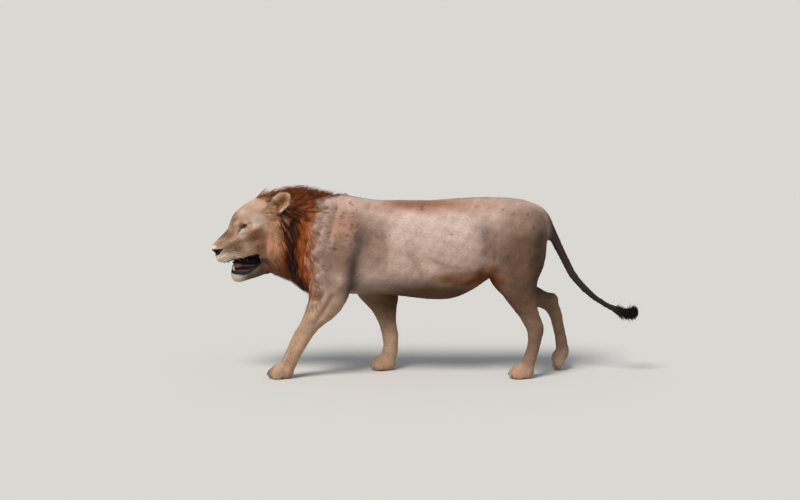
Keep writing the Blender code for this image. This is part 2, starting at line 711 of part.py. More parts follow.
def islands(mesh):
    """The separate closed shells of a mesh, each as its own bmesh, biggest first."""
    bm = bmesh.new()
    bm.from_mesh(mesh)
    bm.verts.ensure_lookup_table()
    label = {}
    groups = []
    for start in bm.verts:
        if start in label:
            continue
        group, queue = [], [start]
        label[start] = len(groups)
        while queue:
            vertex = queue.pop()
            group.append(vertex)
            for edge in vertex.link_edges:
                other = edge.other_vert(vertex)
                if other not in label:
                    label[other] = len(groups)
                    queue.append(other)
        groups.append(group)
    made = []
    for index in range(len(groups)):
        piece = bm.copy()
        piece.verts.ensure_lookup_table()
        gone = [piece.verts[v.index] for v in bm.verts if label[v] != index]
        bmesh.ops.delete(piece, geom=gone, context="VERTS")
        made.append(piece)
    bm.free()
    return sorted(made, key=lambda piece: -abs(piece.calc_volume()))


def split(pieces, name, cutter, results):
    """Parts one piece with a thin cutter. Results gives each new piece's name and a point near it."""
    whole = pieces.pop(name)
    cut_out(whole, cutter)
    bpy.data.objects.remove(cutter)
    found = islands(whole.data)
    bpy.data.objects.remove(whole)
    print(f"{name}: {[round(abs(b.calc_volume()) * 1e6) for b in found]} cm3 -> {list(results)}")
    for bm in found[len(results):]:
        bm.free()
    found = found[: len(results)]
    middles = [sum((v.co for v in bm.verts), Vector()) / len(bm.verts) for bm in found]
    for new_name, near in results.items():
        index = min(range(len(found)), key=lambda i: (middles[i] - Vector(near)).length)
        pieces[new_name] = keep(new_name, found.pop(index))
        middles.pop(index)


def part_body(body):
    """The whole body cut into its named parts."""
    pieces = {"body": body}
    trunk = (0, 0, 0.7)
    for side, word in ((LEFT, "left"), (RIGHT, "right")):
        root = on_head(EAR_ROOT[0], side * EAR_ROOT[1], EAR_ROOT[2])
        along = Vector((EAR_LEAN[0], side * EAR_LEAN[1], EAR_LEAN[2])).normalized()
        cutter = slab(root + along * EAR_CUT, along, size=0.16)
        split(pieces, "body", cutter, {"body": trunk, word + "_ear": root + along * EAR_LENGTH})
    for name, (x, y, radii) in LEG_DOMES.items():
        cutter = dome((x, y, DOME_FLOOR), radii, DOME_FLOOR)
        split(pieces, "body", cutter, {"body": trunk, name: (x, 0.75 * y, 0.3)})
    for name, place, normal, size, results in CUTS:
        split(pieces, name, slab(place, normal, size), results)
    return pieces


# ---------------------------------------------------------------- eyes, nose, tongue and teeth
def ball(name, centre, radii, pitch=0.0, sides=10):
    """A small ellipsoid of few triangles."""
    bm = bmesh.new()
    bmesh.ops.create_uvsphere(bm, u_segments=sides, v_segments=sides // 2 + 1, radius=1.0)
    turn = Matrix.Rotation(math.radians(pitch), 4, "Y")
    bm.transform(Matrix.Translation(centre) @ turn @ Matrix.Diagonal((*radii, 1.0)))
    return keep(name, bm)


def tooth(name, root, tip, radius):
    """A canine: a cone that bends backward on its way to the tip."""
    rings = []
    rows, sides = 4, 6
    root, tip = Vector(root), Vector(tip)
    for i in range(rows):
        t = i / (rows - 1)
        middle = root.lerp(tip, t) - Vector((TOOTH_BEND * math.sin(math.pi * t), 0, 0))
        reach = radius * (1 - t) ** 0.7 + 0.0006
        ring = []
        for j in range(sides):
            angle = 2 * math.pi * j / sides
            ring.append(middle + Vector((math.cos(angle), math.sin(angle), 0)) * reach)
        rings.append(ring)
    return tube(name, rings)


def seat(pieces, host, guest, pocket):
    """Adds a guest piece, and takes the slightly larger pocket out of the piece that holds it."""
    cut_out(pieces[host], pocket)
    bpy.data.objects.remove(pocket)
    pieces[guest.name] = guest


def take_nose(pieces):
    """Parts the nose leather from the head: what the head shares with an ellipsoid at its tip."""
    place = on_head(*NOSE_LEATHER[0])
    nose = bpy.data.objects.new("nose", pieces["head"].data.copy())
    bpy.context.scene.collection.objects.link(nose)
    inside = ball("inside", place, NOSE_LEATHER[1], NOSE_LEATHER[2])
    common = nose.modifiers.new("common", "BOOLEAN")
    common.operation = "INTERSECT"
    common.solver = "EXACT"
    common.object = inside
    bake_modifiers(nose)
    bpy.data.objects.remove(inside)
    grown = [radius + CUT for radius in NOSE_LEATHER[1]]
    seat(pieces, "head", nose, ball("pocket", place, grown, NOSE_LEATHER[2]))


def add_face_pieces(pieces):
    """Eyes, nose, tongue and canines, each seated in the piece that holds it."""
    take_nose(pieces)
    for side, word in ((LEFT, "left"), (RIGHT, "right")):
        place = on_head(EYE_PLACE[0], side * EYE_PLACE[1], EYE_PLACE[2])
        eye = ball(word + "_eye", place, (EYE_RADIUS,) * 3)
        seat(pieces, "head", eye, ball("pocket", place, (EYE_RADIUS + CUT,) * 3))
        upper_root = on_head(0.060, side * 0.028, -0.080)
        upper_tip = on_head(0.058, side * 0.029, -0.114)
        upper = tooth(word + "_upper_canine", upper_root, upper_tip, 0.0070)
        grown = tooth("pocket", upper_root + Vector((0, 0, CUT)), upper_tip, 0.0070 + CUT)
        seat(pieces, "head", upper, grown)
        lower_root = Vector((-1.028, side * 0.021, 0.570))
        lower_tip = Vector((-1.031, side * 0.023, 0.601))
        lower = tooth(word + "_lower_canine", lower_root, lower_tip, 0.0062)
        grown = tooth("pocket", lower_root - Vector((0, 0, CUT)), lower_tip, 0.0062 + CUT)
        seat(pieces, "lower_jaw", lower, grown)
    place, radii, pitch = TONGUE
    grown = [radius + CUT for radius in radii]
    tongue = ball("tongue", place, radii, pitch, sides=12)
    seat(pieces, "lower_jaw", tongue, ball("pocket", place, grown, pitch, sides=12))


# ---------------------------------------------------------------- finish
def srgb(hex_colour):
    """Linear red, green and blue of a display colour such as c4a99d."""
    shares = [int(hex_colour[i : i + 2], 16) / 255 for i in (0, 2, 4)]
    return [c / 12.92 if c <= 0.04045 else ((c + 0.055) / 1.055) ** 2.4 for c in shares]


def finish(pieces):
    """Gives each piece its material and smooth shading."""
    made = {}
    for slot, (colour, roughness, _) in FINISHES.items():
        material = bpy.data.materials.new(slot)
        material.use_nodes = True
        shader = material.node_tree.nodes["Principled BSDF"]
        shader.inputs["Base Color"].default_value = (*srgb(colour), 1.0)
        shader.inputs["Roughness"].default_value = roughness
        shader.inputs["Metallic"].default_value = 0.0
        made[slot] = material
    for name, obj in pieces.items():
        slot = next(slot for slot, row in FINISHES.items() if any(word in name for word in row[2]))
        obj.data.materials.clear()
        obj.data.materials.append(made[slot])
        obj.data.polygons.foreach_set("material_index", [0] * len(obj.data.polygons))
        obj.data.polygons.foreach_set("use_smooth", [True] * len(obj.data.polygons))
        obj.name = name
        obj.data.name = name


def centre_on_origin(pieces):
    """Shifts every piece so that the middle of the whole model's box stands on the origin."""
    low, high = Vector((9, 9, 9)), Vector((-9, -9, -9))
    for obj in pieces:
        for vertex in obj.data.vertices:
            for axis in range(3):
                low[axis] = min(low[axis], vertex.co[axis])
                high[axis] = max(high[axis], vertex.co[axis])
    shift = Vector((-(low.x + high.x) / 2, -(low.y + high.y) / 2, 0))
    for obj in pieces:
        obj.data.transform(Matrix.Translation(shift))
    print("box", [round(v, 4) for v in (*low, *high)], "shift", [round(v, 4) for v in shift])


def main():
    for obj in list(bpy.data.objects):
        bpy.data.objects.remove(obj)
    clay = [barrel("trunk_clay", TRUNK), barrel("neck_clay", NECK), crest_clay()]
    clay += head_clay() + jaw_clay() + legs_clay() + muscles_clay()
    clay.append(limb("tail_clay", TAIL, RIGHT))
    body = fuse(clay)
    pieces = part_body(body)
    add_face_pieces(pieces)
    centre_on_origin(pieces.values())
    finish(pieces)


main()
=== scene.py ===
# %% [markdown]
# # A still, life-size lion
# A museum model of a young male lion in mid stride. The solid model gives his form out to the tips
# of his coat, in 34 parts. Here he gets one seamless skin, a coat of hair, a mane, eyes, nose,
# mouth and whiskers. Each step says what the part is on a real lion and why it is made the way it
# is.

# %% Load the solid model
import math
import time

import bmesh
import bpy
import numpy as np
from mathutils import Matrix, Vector
from mathutils.bvhtree import BVHTree


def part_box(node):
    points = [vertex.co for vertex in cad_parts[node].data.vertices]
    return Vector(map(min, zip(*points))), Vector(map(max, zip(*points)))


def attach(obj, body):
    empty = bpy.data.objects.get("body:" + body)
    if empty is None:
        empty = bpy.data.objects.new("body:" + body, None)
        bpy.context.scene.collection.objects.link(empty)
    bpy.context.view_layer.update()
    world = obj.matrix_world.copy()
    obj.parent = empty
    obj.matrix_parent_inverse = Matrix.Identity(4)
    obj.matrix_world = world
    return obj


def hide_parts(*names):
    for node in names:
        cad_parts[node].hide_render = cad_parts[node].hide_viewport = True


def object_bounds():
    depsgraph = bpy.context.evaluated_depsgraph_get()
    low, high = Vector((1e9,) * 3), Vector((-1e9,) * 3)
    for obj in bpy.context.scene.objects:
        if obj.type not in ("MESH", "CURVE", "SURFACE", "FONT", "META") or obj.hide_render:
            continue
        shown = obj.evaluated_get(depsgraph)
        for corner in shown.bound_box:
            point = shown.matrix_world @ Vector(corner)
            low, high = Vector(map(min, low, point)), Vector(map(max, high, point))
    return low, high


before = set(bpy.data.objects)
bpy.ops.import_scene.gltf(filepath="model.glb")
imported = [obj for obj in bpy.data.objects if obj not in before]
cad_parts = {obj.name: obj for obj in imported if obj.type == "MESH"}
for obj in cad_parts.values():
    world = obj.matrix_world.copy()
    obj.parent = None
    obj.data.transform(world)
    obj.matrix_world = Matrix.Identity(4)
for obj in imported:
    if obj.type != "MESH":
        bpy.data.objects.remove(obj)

STARTED = time.time()
solid_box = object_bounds()
print("solid parts", len(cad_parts), "box", [round(v, 3) for end in solid_box for v in end])

# %% [markdown]
# ## Small helpers
# Colours are written as sRGB hex, as a paint chart gives them, and Blender mixes light in linear
# values, so one function converts them. A ramp that eases in and out is the tool for every soft
# border on the animal: where one colour, or one length of hair, gives way to the next.


# %% Colours, ramps and places
def linear(hex_colour):
    """Linear red, green and blue of an sRGB hex colour such as c4a99d."""
    shares = [int(hex_colour[i : i + 2], 16) / 255 for i in (0, 2, 4)]
    return np.array([c / 12.92 if c <= 0.04045 else ((c + 0.055) / 1.055) ** 2.4 for c in shares])


def ramp(values, low, high):
    """0 at low, 1 at high, and smooth between. Low may be the greater."""
    t = np.clip((np.asarray(values, float) - low) / (high - low), 0.0, 1.0)
    return t * t * (3 - 2 * t)


def fade(values, low, high):
    """1 at low, 0 at high, and smooth between."""
    return 1 - ramp(values, low, high)


def brushed(far, width):
    """1 on a line, and fading out beside it as the mark of a soft brush does."""
    return np.exp(-((far / width) ** 2))


def unit(vectors):
    """The same directions with length 1."""
    size = np.linalg.norm(vectors, axis=-1, keepdims=True)
    return vectors / np.maximum(size, 1e-9)


def lay(colour, over, share):
    """One colour, or one for each point, laid over others by a share at each point."""
    return colour * (1 - share[:, None]) + over * share[:, None]


def middle(node):
    """The middle of a solid part's box."""
    low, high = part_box(node)
    return np.array((low + high) / 2)


def box_of(node):
    """The lowest and the highest corner of a solid part's box."""
    return [np.array(corner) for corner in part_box(node)]


def keep_inside(places, clear=0.001):
    """Holds places inside the solid model's box, a little clear of its sides."""
    low, high = (np.array(corner) for corner in solid_box)
    return np.clip(places, low + clear, high - clear)


def read(data, what, width, kind=float):
    """A mesh layer as an array, one row for each element."""
    values = np.empty(len(data) * width, kind)
    data.foreach_get(what, values)
    return values.reshape(-1, width) if width > 1 else values


def show(name, mesh, material=None):
    """Puts a mesh into the scene as an object of this material."""
    if material:
        mesh.materials.append(material)
    obj = bpy.data.objects.new(name, mesh)
    bpy.context.scene.collection.objects.link(obj)
    return obj


print("sandy hair c4a99d in linear light", linear("c4a99d").round(3))


# %% [markdown]
# ## The head's own axes
# He walks with his head low and tipped, so his face isn't level with the floor. Face shapes are
# easier to place in axes that tip with the head: back from the nose tip, sideways, and up. The two
# eyeballs of the solid model fix where those axes lie.

# %% Head axes
HEAD_TURN = math.radians(20)
BACK = np.array([math.cos(HEAD_TURN), 0, math.sin(HEAD_TURN)])
SIDE = np.array([0.0, 1.0, 0.0])
UP = np.array([-math.sin(HEAD_TURN), 0, math.cos(HEAD_TURN)])
EYE_BACK, EYE_UP = 0.211, 0.054
EYES = {-1: middle("left_eye"), 1: middle("right_eye")}
EYE_RADIUS = float(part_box("left_eye")[1].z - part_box("left_eye")[0].z) / 2
MIDDLE_Y = float(EYES[-1][1] + EYES[1][1]) / 2
NOSE_TIP = (EYES[-1] + EYES[1]) / 2 - EYE_BACK * BACK - EYE_UP * UP
print("nose tip", NOSE_TIP.round(4), "eye radius", round(EYE_RADIUS, 4))


def head_places(places):
    """Places as distances back from the nose tip, sideways, and up."""
    off = places - NOSE_TIP
    return off @ BACK, off @ SIDE, off @ UP


def on_head(back, side, up):
    """The place that lies so far back from the nose tip, sideways, and up."""
    return NOSE_TIP + back * BACK + side * SIDE + up * UP


# %% [markdown]
# ## Camera, floor and light
# The camera stands 12 m away with a long lens, a little above his back, as a careful visitor would
# stand. One broad sun lamp from above and before him, and an even pale sky, show the form without
# hard shadows. The sky is as bright at its rim as the floor, so that no horizon cuts the picture.

# %% Camera
VIEW_AIM = Vector((-0.1394, 0.0002, 0.680))
VIEW_HEIGHT = math.radians(8)
VIEW_DISTANCE = 12.0
camera_data = bpy.data.cameras.new("camera")
camera_data.sensor_width = 36
camera_data.lens = 100
camera = bpy.data.objects.new("camera", camera_data)
bpy.context.scene.collection.objects.link(camera)
backward = Vector((0, -math.cos(VIEW_HEIGHT), math.sin(VIEW_HEIGHT)))
camera.location = VIEW_AIM + backward * VIEW_DISTANCE
camera.rotation_euler = (-backward).to_track_quat("-Z", "Y").to_euler()
bpy.context.scene.camera = camera
print("camera", camera_data.lens, "mm at", [round(v, 2) for v in camera.location])


# %% [markdown]
# A material is a small circuit of nodes. One function adds a node, sets its values and wires its
# inputs, so that each material below reads as a list of what it is made of. Another starts a
# material and ends it with its shader, so that a finish only has to say what feeds that shader.


# %% Wiring nodes
def add(tree, kind, settings=None, links=None):
    """Adds a node. Settings are its properties or input values, links feed its inputs."""
    node = tree.nodes.new("ShaderNode" + kind)
    for key, value in (settings or {}).items():
        if isinstance(key, str) and hasattr(node, key):
            setattr(node, key, value)
        else:
            node.inputs[key].default_value = value
    for key, source in (links or {}).items():
        tree.links.new(source, node.inputs[key])
    return node


def surface(name, settings, wire=None):
    """A material: a shader with these settings, fed by the sockets that wire makes."""
    material = bpy.data.materials.new(name)
    material.use_nodes = True
    tree = material.node_tree
    tree.nodes.clear()
    shader = add(tree, "BsdfPrincipled", settings, wire(tree) if wire else None)
    add(tree, "OutputMaterial", links={"Surface": shader.outputs["BSDF"]})
    return material


print("nodes can be wired")

# %% [markdown]
# The floor is matt studio paint: it hardly shines, so that it gives the eye nothing but his
# shadow. The sky blends from a warm rim to a cooler top, as a white tent round a model does.

# %% Floor, sky and lamp
floor_paint = {"Base Color": (*linear("cbc8c2"), 1), "Roughness": 0.95, "Specular IOR Level": 0.1}
FLOOR_REACH = 90
floor_mesh = bpy.data.meshes.new("studio_floor")
around = ((-1, -1), (1, -1), (1, 1), (-1, 1))
floor_corners = [(FLOOR_REACH * x, FLOOR_REACH * y, 0) for x, y in around]
floor_mesh.from_pydata(floor_corners, [], [(0, 1, 2, 3)])
floor = show("studio_floor", floor_mesh, surface("matt_studio_floor_paint", floor_paint))

world = bpy.data.worlds.new("studio")
bpy.context.scene.world = world
world.use_nodes = True
tree = world.node_tree
direction = add(tree, "TexCoord")
height = add(tree, "SeparateXYZ", links={"Vector": direction.outputs["Generated"]})
climb = add(tree, "MapRange", {"From Min": 0.02, "From Max": 0.5}, {"Value": height.outputs["Z"]})
sky_tones = {"data_type": "RGBA", 6: (0.70, 0.685, 0.655, 1), 7: (0.33, 0.37, 0.43, 1)}
sky = add(tree, "Mix", sky_tones, {"Factor": climb.outputs["Result"]})
tree.links.new(sky.outputs[2], tree.nodes["Background"].inputs["Color"])

sun_data = bpy.data.lights.new("soft_sun", "SUN")
sun_data.energy = 3.2
sun_data.angle = math.radians(24)
sun_data.color = (1.0, 0.965, 0.92)
sun = bpy.data.objects.new("soft_sun", sun_data)
sun.rotation_euler = (Vector((0.35, 0.62, -1.0))).to_track_quat("-Z", "Y").to_euler()
bpy.context.scene.collection.objects.link(sun)
bpy.context.scene.view_settings.view_transform = "Standard"
print("floor, sky and a soft sun")

# %% [markdown]
# ## One skin over many parts
# On the animal one hide runs over all of the body. The solid model is parted by thin cuts, so its
# parts are swollen by half a millimetre, which closes the cuts, and melted together by a voxel
# remesh. The face needs finer detail than the flank. A voxel is the same size everywhere, so the
# head is first blown up like a balloon, remeshed along with the body, and let down again: its
# faces end up 2.6 times finer.

# %% Gather the flesh
NOT_FLESH = ("eye", "tongue", "canine")
FLESH = [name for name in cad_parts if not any(word in name for word in NOT_FLESH)]
SWELL = 0.0006
SKIN_VOXEL = 0.0120
HEAD_ZOOM = 2.6
ZOOM_LEVEL = 0.75  # the height that stays put while the head is blown up

HEAD_ENDS = (-0.84, -0.66)  # x over which the enlargement fades out
LINE_STEP = 0.001

line_x = np.arange(-1.4, 1.4, LINE_STEP)
line_zoom = 1 + (HEAD_ZOOM - 1) * fade(line_x, *HEAD_ENDS)
line_stretched = np.cumsum(line_zoom) * LINE_STEP


def blow_up(places):
    """Places with the head enlarged."""
    zoom = np.interp(places[:, 0], line_x, line_zoom)
    x = np.interp(places[:, 0], line_x, line_stretched)
    return np.stack([x, places[:, 1] * zoom, (places[:, 2] - ZOOM_LEVEL) * zoom], 1)


def let_down(places):
    """The way back from blow_up."""
    x = np.interp(places[:, 0], line_stretched, line_x)
    zoom = np.interp(x, line_x, line_zoom)
    return np.stack([x, places[:, 1] / zoom, places[:, 2] / zoom + ZOOM_LEVEL], 1)


def with_modifiers(obj):
    """A new mesh as the object looks with its modifiers."""
    depsgraph = bpy.context.evaluated_depsgraph_get()
    return bpy.data.meshes.new_from_object(obj.evaluated_get(depsgraph), depsgraph=depsgraph)


gathered = bmesh.new()
for name in FLESH:
    gathered.from_mesh(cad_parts[name].data)
bmesh.ops.remove_doubles(gathered, verts=gathered.verts, dist=1e-6)
bmesh.ops.recalc_face_normals(gathered, faces=gathered.faces)
for vertex in gathered.verts:
    vertex.co += vertex.normal * SWELL
bmesh.ops.subdivide_edges(gathered, edges=gathered.edges, cuts=3, use_grid_fill=True)
skin_mesh = bpy.data.meshes.new("skin")
gathered.to_mesh(skin_mesh)
gathered.free()
skin_mesh.vertices.foreach_set("co", blow_up(read(skin_mesh.vertices, "co", 3)).ravel())
skin = show("skin", skin_mesh)
remesh = skin.modifiers.new("melt_together", "REMESH")
remesh.mode = "VOXEL"
remesh.voxel_size = SKIN_VOXEL
melted = with_modifiers(skin)
skin.modifiers.clear()
skin.data = melted
melted.vertices.foreach_set("co", let_down(read(melted.vertices, "co", 3)).ravel())
print("skin faces", len(melted.polygons), "after", round(time.time() - STARTED, 1), "s")

# %% [markdown]
# ## Melting the facets
# The solid model is cut with few faces, and a hide has none. Smoothing by simple averaging would
# shrink him, so the skin is treated as a thin springy sheet instead: it may leave its place a
# little, but every bend costs it. Solving for the cheapest shape melts the facets and keeps the
# form. Thin ears, lips and paws get a weaker setting, or they would lose their edges.


# %% A springy sheet
class Sheet:
    """The skin as places and the edges between them."""

    def __init__(self, mesh):
        self.mesh = mesh
        self.places = read(mesh.vertices, "co", 3)
        self.a, self.b = read(mesh.edges, "vertices", 2, int).T
        self.count = len(mesh.vertices)

    def off(self, places):
        """How far each place stands off its neighbours."""
        made = np.empty_like(places)
        for axis in range(3):
            step = (places[self.a, axis] - places[self.b, axis]) / 4
            pulled = np.bincount(self.a, step, self.count)
            made[:, axis] = pulled - np.bincount(self.b, step, self.count)
        return made

    def melt(self, softness, steps=60):
        """Finds the places near the old ones that bend least, by conjugate gradients."""
        weight = softness[:, None]
        rest = -self.off(weight * self.off(self.places))
        search = rest.copy()
        energy = (rest * rest).sum(0)
        for _ in range(steps):
            pushed = search + self.off(weight * self.off(search))
            stride = energy / (search * pushed).sum(0)
            self.places = self.places + stride * search
            rest = rest - stride * pushed
            fresh = (rest * rest).sum(0)
            search = rest + search * (fresh / energy)
            energy = fresh

    def normals(self):
        """Unit normals, after the places are written to the mesh."""
        self.mesh.vertices.foreach_set("co", self.places.ravel())
        self.mesh.update()
        return read(self.mesh.vertices, "normal", 3)


EAR_TREES = {}
for side_name in ("left", "right"):
    ear_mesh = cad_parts[f"{side_name}_ear"].data
    ear_mesh.calc_loop_triangles()
    ear_faces = read(ear_mesh.loop_triangles, "vertices", 3, int).tolist()
    EAR_TREES[side_name] = BVHTree.FromPolygons([v.co.copy() for v in ear_mesh.vertices], ear_faces)


def ear_share(places):
    """1 on the two thin ears, which stand out of the mane, 0 a centimetre off them."""
    share = np.zeros(len(places))
    for side_name, tree in EAR_TREES.items():
        low, high = box_of(f"{side_name}_ear")
        near = np.flatnonzero(((places > low - 0.015) & (places < high + 0.015)).all(1))
        far = np.array([tree.find_nearest(Vector(places[i]))[3] for i in near])
        share[near] = fade(far, 0.006, 0.014)
    return share


EAR_LENGTH, EAR_HALF_WIDTH = 0.164, 0.050


def ear_axes(which):
    """The ear's root, and the directions along it, out of its hollow, and across it."""
    root = on_head(0.372, which * 0.092, 0.074)
    along = unit(np.array([0.64, which * 0.45, 0.62]))
    facing = np.array([-0.55, which * 0.83, 0.10])
    facing = unit(facing - (facing @ along) * along)
    return root, along, facing, np.cross(along, facing)


def ear_places(places):
    """Where places lie on the nearer ear: share of length, share of half width, and depth."""
    made = np.zeros((len(places), 3))
    for which in (-1, 1):
        root, along, facing, across = ear_axes(which)
        off = places - root
        share, wide = off @ along / EAR_LENGTH, off @ across / EAR_HALF_WIDTH
        before = off @ facing - 0.030 * (1.2 - 0.8 * share) * wide**2
        this_side = (places[:, 1] - MIDDLE_Y) * which > 0
        made = np.where(this_side[:, None], np.stack([share, wide, before], 1), made)
    return made.T


def paw_share(places):
    """1 on the four feet."""
    return fade(places[:, 2], 0.100, 0.135)


sheet = Sheet(skin.data)
back, side, up = head_places(sheet.places)
in_face = fade(sheet.places[:, 0], -0.80, -0.74)
BODY_SOFTNESS, FACE_SOFTNESS = 26, 34
softness = BODY_SOFTNESS * (1 - in_face) + FACE_SOFTNESS * in_face
softness = softness * (1 - 0.85 * ear_share(sheet.places)) * (1 - 0.85 * paw_share(sheet.places))
near_mouth = in_face * fade(np.abs(up + 0.115), 0.02, 0.05) * fade(back, 0.28, 0.33)
softness = softness * (1 - 0.75 * near_mouth) * (1 - 0.6 * ramp(sheet.places[:, 0], 0.66, 0.70))
sheet.melt(softness)
sheet.normals()
print("melted", sheet.count, "points after", round(time.time() - STARTED, 1), "s")

# %% [markdown]
# ## More faces where they matter
# Lids, nostrils, lips and toes need faces of a millimetre or two. Only the faces there are
# divided, each in four, and the rest of the skin stays as it is.


# %% Divide the face and the feet
def divide(mesh, wanted):
    """Divides the faces whose middles are wanted."""
    centres = read(mesh.polygons, "center", 3)
    chosen = np.flatnonzero(wanted(centres))
    work = bmesh.new()
    work.from_mesh(mesh)
    work.faces.ensure_lookup_table()
    edges = {edge for index in chosen for edge in work.faces[index].edges}
    bmesh.ops.subdivide_edges(work, edges=list(edges), cuts=1, use_grid_fill=True)
    work.to_mesh(mesh)
    work.free()


def near_eyes(places, reach):
    """True within so far of an eye's middle."""
    return np.minimum(*(np.linalg.norm(places - eye, axis=1) for eye in EYES.values())) < reach


def on_nose(places):
    """True on the nose leather and the lip below it."""
    back, _, up = head_places(places)
    return (back < 0.066) & (up > -0.085) & (up < 0.0)


FOOT_HEIGHT = 0.105
divide(skin.data, lambda at: near_eyes(at, 0.037) | on_nose(at) | (at[:, 2] < FOOT_HEIGHT))
divide(skin.data, lambda at: near_eyes(at, 0.025))
sheet = Sheet(skin.data)
sheet.melt(np.full(sheet.count, 1.5), 20)
sheet.normals()
print("skin points", sheet.count, "faces", len(skin.data.polygons))

# %% [markdown]
# ## Where the mane grows
# He is young, so his mane is short: a ruff behind the cheeks, a bib under the throat, and a crest
# that stands up from the forehead to the withers. The solid model reaches out to the tips of that
# hair. The hide itself lies deeper, by the coat's depth: a few millimetres on the flank, and 40 mm
# under the ruff.


# %% The mane's borders, and how deep the coat is
def mane_rear(places):
    """x of the mane's ragged rear border; it reaches back to the withers along the top."""
    _, y, z = places.T
    withers = ramp(z, 0.955, 1.000) * fade(np.abs(y - MIDDLE_Y), 0.040, 0.080)
    ragged = 0.012 * np.sin(43 * z) + 0.009 * np.sin(97 * z + 1.0)
    return -0.608 + 0.158 * withers + 0.02 * ramp(z, 0.60, 0.50) + ragged


def mane_share(places):
    """1 where the mane's hair grows, 0 outside it, with a soft border."""
    x, y, z = places.T
    out = np.abs(y - MIDDLE_Y)
    crown = ramp(z, 0.945, 0.985) * fade(out, 0.045, 0.085)
    front = -0.820 - 0.100 * crown - 0.020 * ramp(z, 0.66, 0.58)
    rear = mane_rear(places)
    along = ramp(x, front - 0.010, front + 0.060) * fade(x, rear - 0.045, rear + 0.045)
    bib = ramp(z, 0.415, 0.455)
    return along * bib * (1 - ear_share(places))


def mane_growth(places):
    """1 where long hair is rooted: from ahead of the deep hide, so that it flows over the edge."""
    ahead = places + np.array([0.045, 0.0, 0.0])
    grown = np.maximum(ramp(mane_share(places), 0, 0.5), ramp(mane_share(ahead), 0, 0.5))
    return grown * fade(ear_share(places), 0.0, 0.4)


NECK_LINE = np.array([(-1.00, 0.78), (-0.86, 0.80), (-0.72, 0.77), (-0.60, 0.72), (-0.45, 0.70)])
TAIL_TUFT = middle("tail_tuft")


def tuft_share(places):
    """1 in the black brush at the tail's end."""
    return ramp(places[:, 0], TAIL_TUFT[0] - 0.075, TAIL_TUFT[0] - 0.035) * (places[:, 2] < 0.5)


def face_share(places):
    """1 on the face, 0 from the cheeks back."""
    return fade(places[:, 0], -0.86, -0.80)


MANE_DEPTH, CREST_EXTRA = 0.040, 0.024


def coat_depth(places):
    """How far the hide lies below the coat's outer form."""
    z = places[:, 2]
    back, _, _ = head_places(places)
    face = 0.0012 + 0.0028 * ramp(back, 0.05, 0.30)
    body = 0.0030 - 0.0010 * ramp(z, 0.42, 0.15)
    in_face = face_share(places)
    depth = face * in_face + body * (1 - in_face)
    depth = depth * (1 - 0.75 * ear_share(places))
    hidden = MANE_DEPTH + CREST_EXTRA * ramp(z, 0.93, 1.03)
    share = mane_share(places)
    return depth * (1 - share) + hidden * share


hull = sheet.places.copy()
inward = -sheet.normals()
share = mane_share(hull)[:, None]
neck_z = np.interp(hull[:, 0], NECK_LINE[:, 0], NECK_LINE[:, 1])
to_neck = unit(np.stack([0 * hull[:, 0], MIDDLE_Y - hull[:, 1], neck_z - hull[:, 2]], 1))
inward = unit(inward * (1 - share) + to_neck * share)
depth = coat_depth(hull)
tail_line = np.array([TAIL_TUFT[0], MIDDLE_Y, TAIL_TUFT[2]])
sheet.places = hull + inward * depth[:, None]
brush = tuft_share(hull)[:, None]
sheet.places += brush * 0.55 * (tail_line - hull) * np.array([0.25, 1.0, 1.0])
sheet.melt(6 * mane_share(hull) + 4 * brush[:, 0], 40)
sheet.normals()
print("coat depth", depth.min().round(4), "to", depth.max().round(4))


# %% [markdown]
# ## Sculpting: muscles and folds
# Under short hair every muscle shows. A stroke pushes the hide out, or lets it in, along a line
# drawn on his side: the edge of the shoulder blade, the hollow behind the triceps, the fold of
# loose skin that runs from belly to thigh. Each is a few millimetres high and fades out sideways
# like a brush stroke.


# %% Strokes on the body
def far_from_line(places, line):
    """Distance of each place, flat or in space, from a line of places."""
    nearest = np.full(len(places), 9.0)
    for start, end in zip(np.array(line), np.array(line)[1:]):
        run = end - start
        share = np.clip(((places - start) @ run) / (run @ run), 0, 1)
        nearest = np.minimum(nearest, np.linalg.norm(places - start - share[:, None] * run, axis=1))
    return nearest


